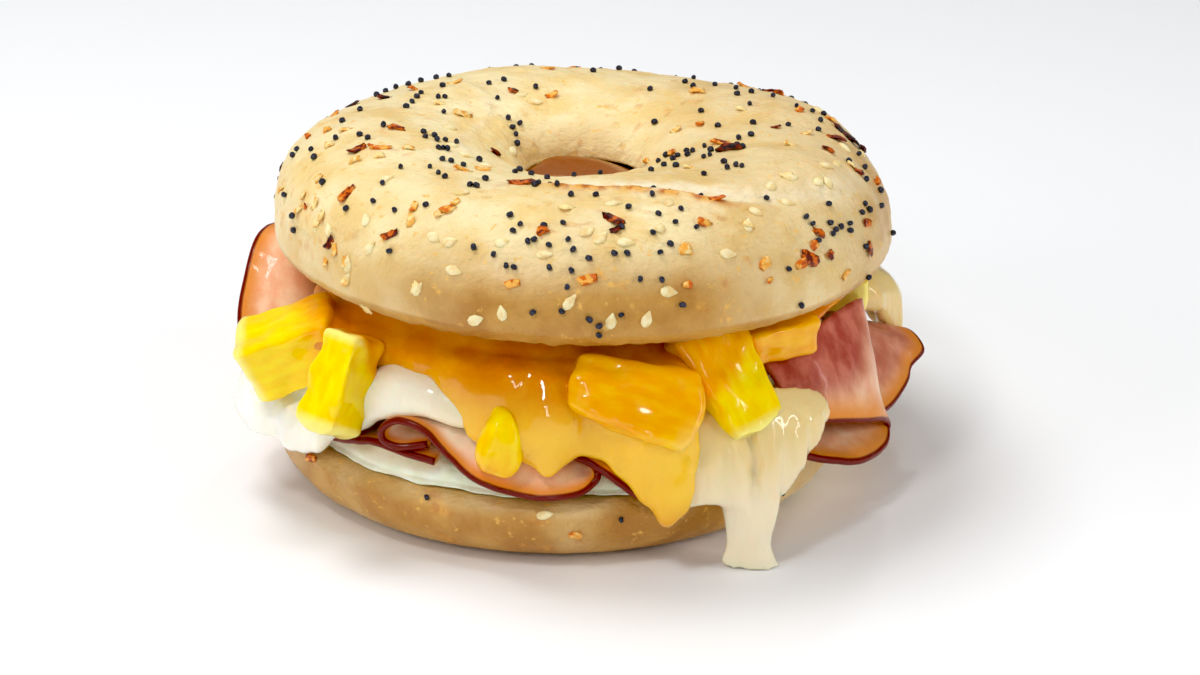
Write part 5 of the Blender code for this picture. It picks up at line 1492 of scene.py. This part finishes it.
def place(hit, normal, length, width, thick, turn, tone=0.0, sunk=0.3):
    """What the tree needs to know about one topping."""
    taken.append(hit)
    size = (length * MM, width * MM, thick * MM)
    at = hit + normal * thick * MM * (0.5 - sunk)
    return {"at": at, "out": normal, "size": size, "turn": turn, "tone": tone}


FULL_TURN = 6.3  # radians
SESAME_LONG, SESAME_WIDE, POPPY_SIZE = (2.7, 3.3), (1.7, 2.1), (1.05, 1.32)  # real sizes, mm

flakes = []
for found, (turn, length, width, tone) in on_crust(FLAKE_PLACES):
    flakes.append(place(*found, length, width, draw.uniform(0.8, 1.1), turn, tone, 0.25))
for hit, normal in unseen_places(*UNSEEN_FLAKES, draw, taken):
    size = draw.uniform(1.8, 4.2)
    turn = draw.uniform(0, FULL_TURN)
    flakes.append(place(hit, normal, size, size * 0.6, 1.1, turn, draw.random(), 0.2))
set_on_points("onion_flakes", [flake_shape(s) for s in range(5)], flakes, "toasted_onion", 3)

sesame = []
for found, (turn,) in on_crust(SESAME_PLACES):
    length, width = draw.uniform(*SESAME_LONG), draw.uniform(*SESAME_WIDE)
    sesame.append(place(*found, length, width, 0.9, turn, 0.0, 0.4))
for hit, normal in unseen_places(*UNSEEN_SESAME, draw, taken):
    length, width = draw.uniform(*SESAME_LONG), draw.uniform(*SESAME_WIDE)
    sesame.append(place(hit, normal, length, width, 1.0, draw.uniform(0, FULL_TURN)))
set_on_points("sesame_seeds", [sesame_shape(s) for s in range(3)], sesame, "sesame_seed", 4)

poppy = []
for found, _ in on_crust(POPPY_PLACES):
    size = draw.uniform(*POPPY_SIZE)
    poppy.append(place(*found, size, size, size, draw.uniform(0, FULL_TURN), 0.0, 0.2))
for hit, normal in unseen_places(*UNSEEN_POPPY, draw, taken):
    size = draw.uniform(*POPPY_SIZE)
    poppy.append(place(hit, normal, size, size, size, draw.uniform(0, FULL_TURN), 0.0, 0.2))
set_on_points("poppy_seeds", [poppy_shape(s) for s in range(3)], poppy, "poppy_seed", 5)

# %% [markdown]
# ## The hidden stack and the sizes
#
# The folded stack in the middle is wholly inside, so its solid stays and only takes the ham's finish.

# %% Finish the stack and compare sizes
stack = frame["nodes"]["ham_stack"]
stack.data.materials.clear()
stack.data.materials.append(bpy.data.materials["ham_inside"])
dressed_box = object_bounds()
for name, box in (("solids", cad_box), ("dressed", dressed_box)):
    print(name, "mm", [[round(c / MM, 2) for c in corner] for corner in box])
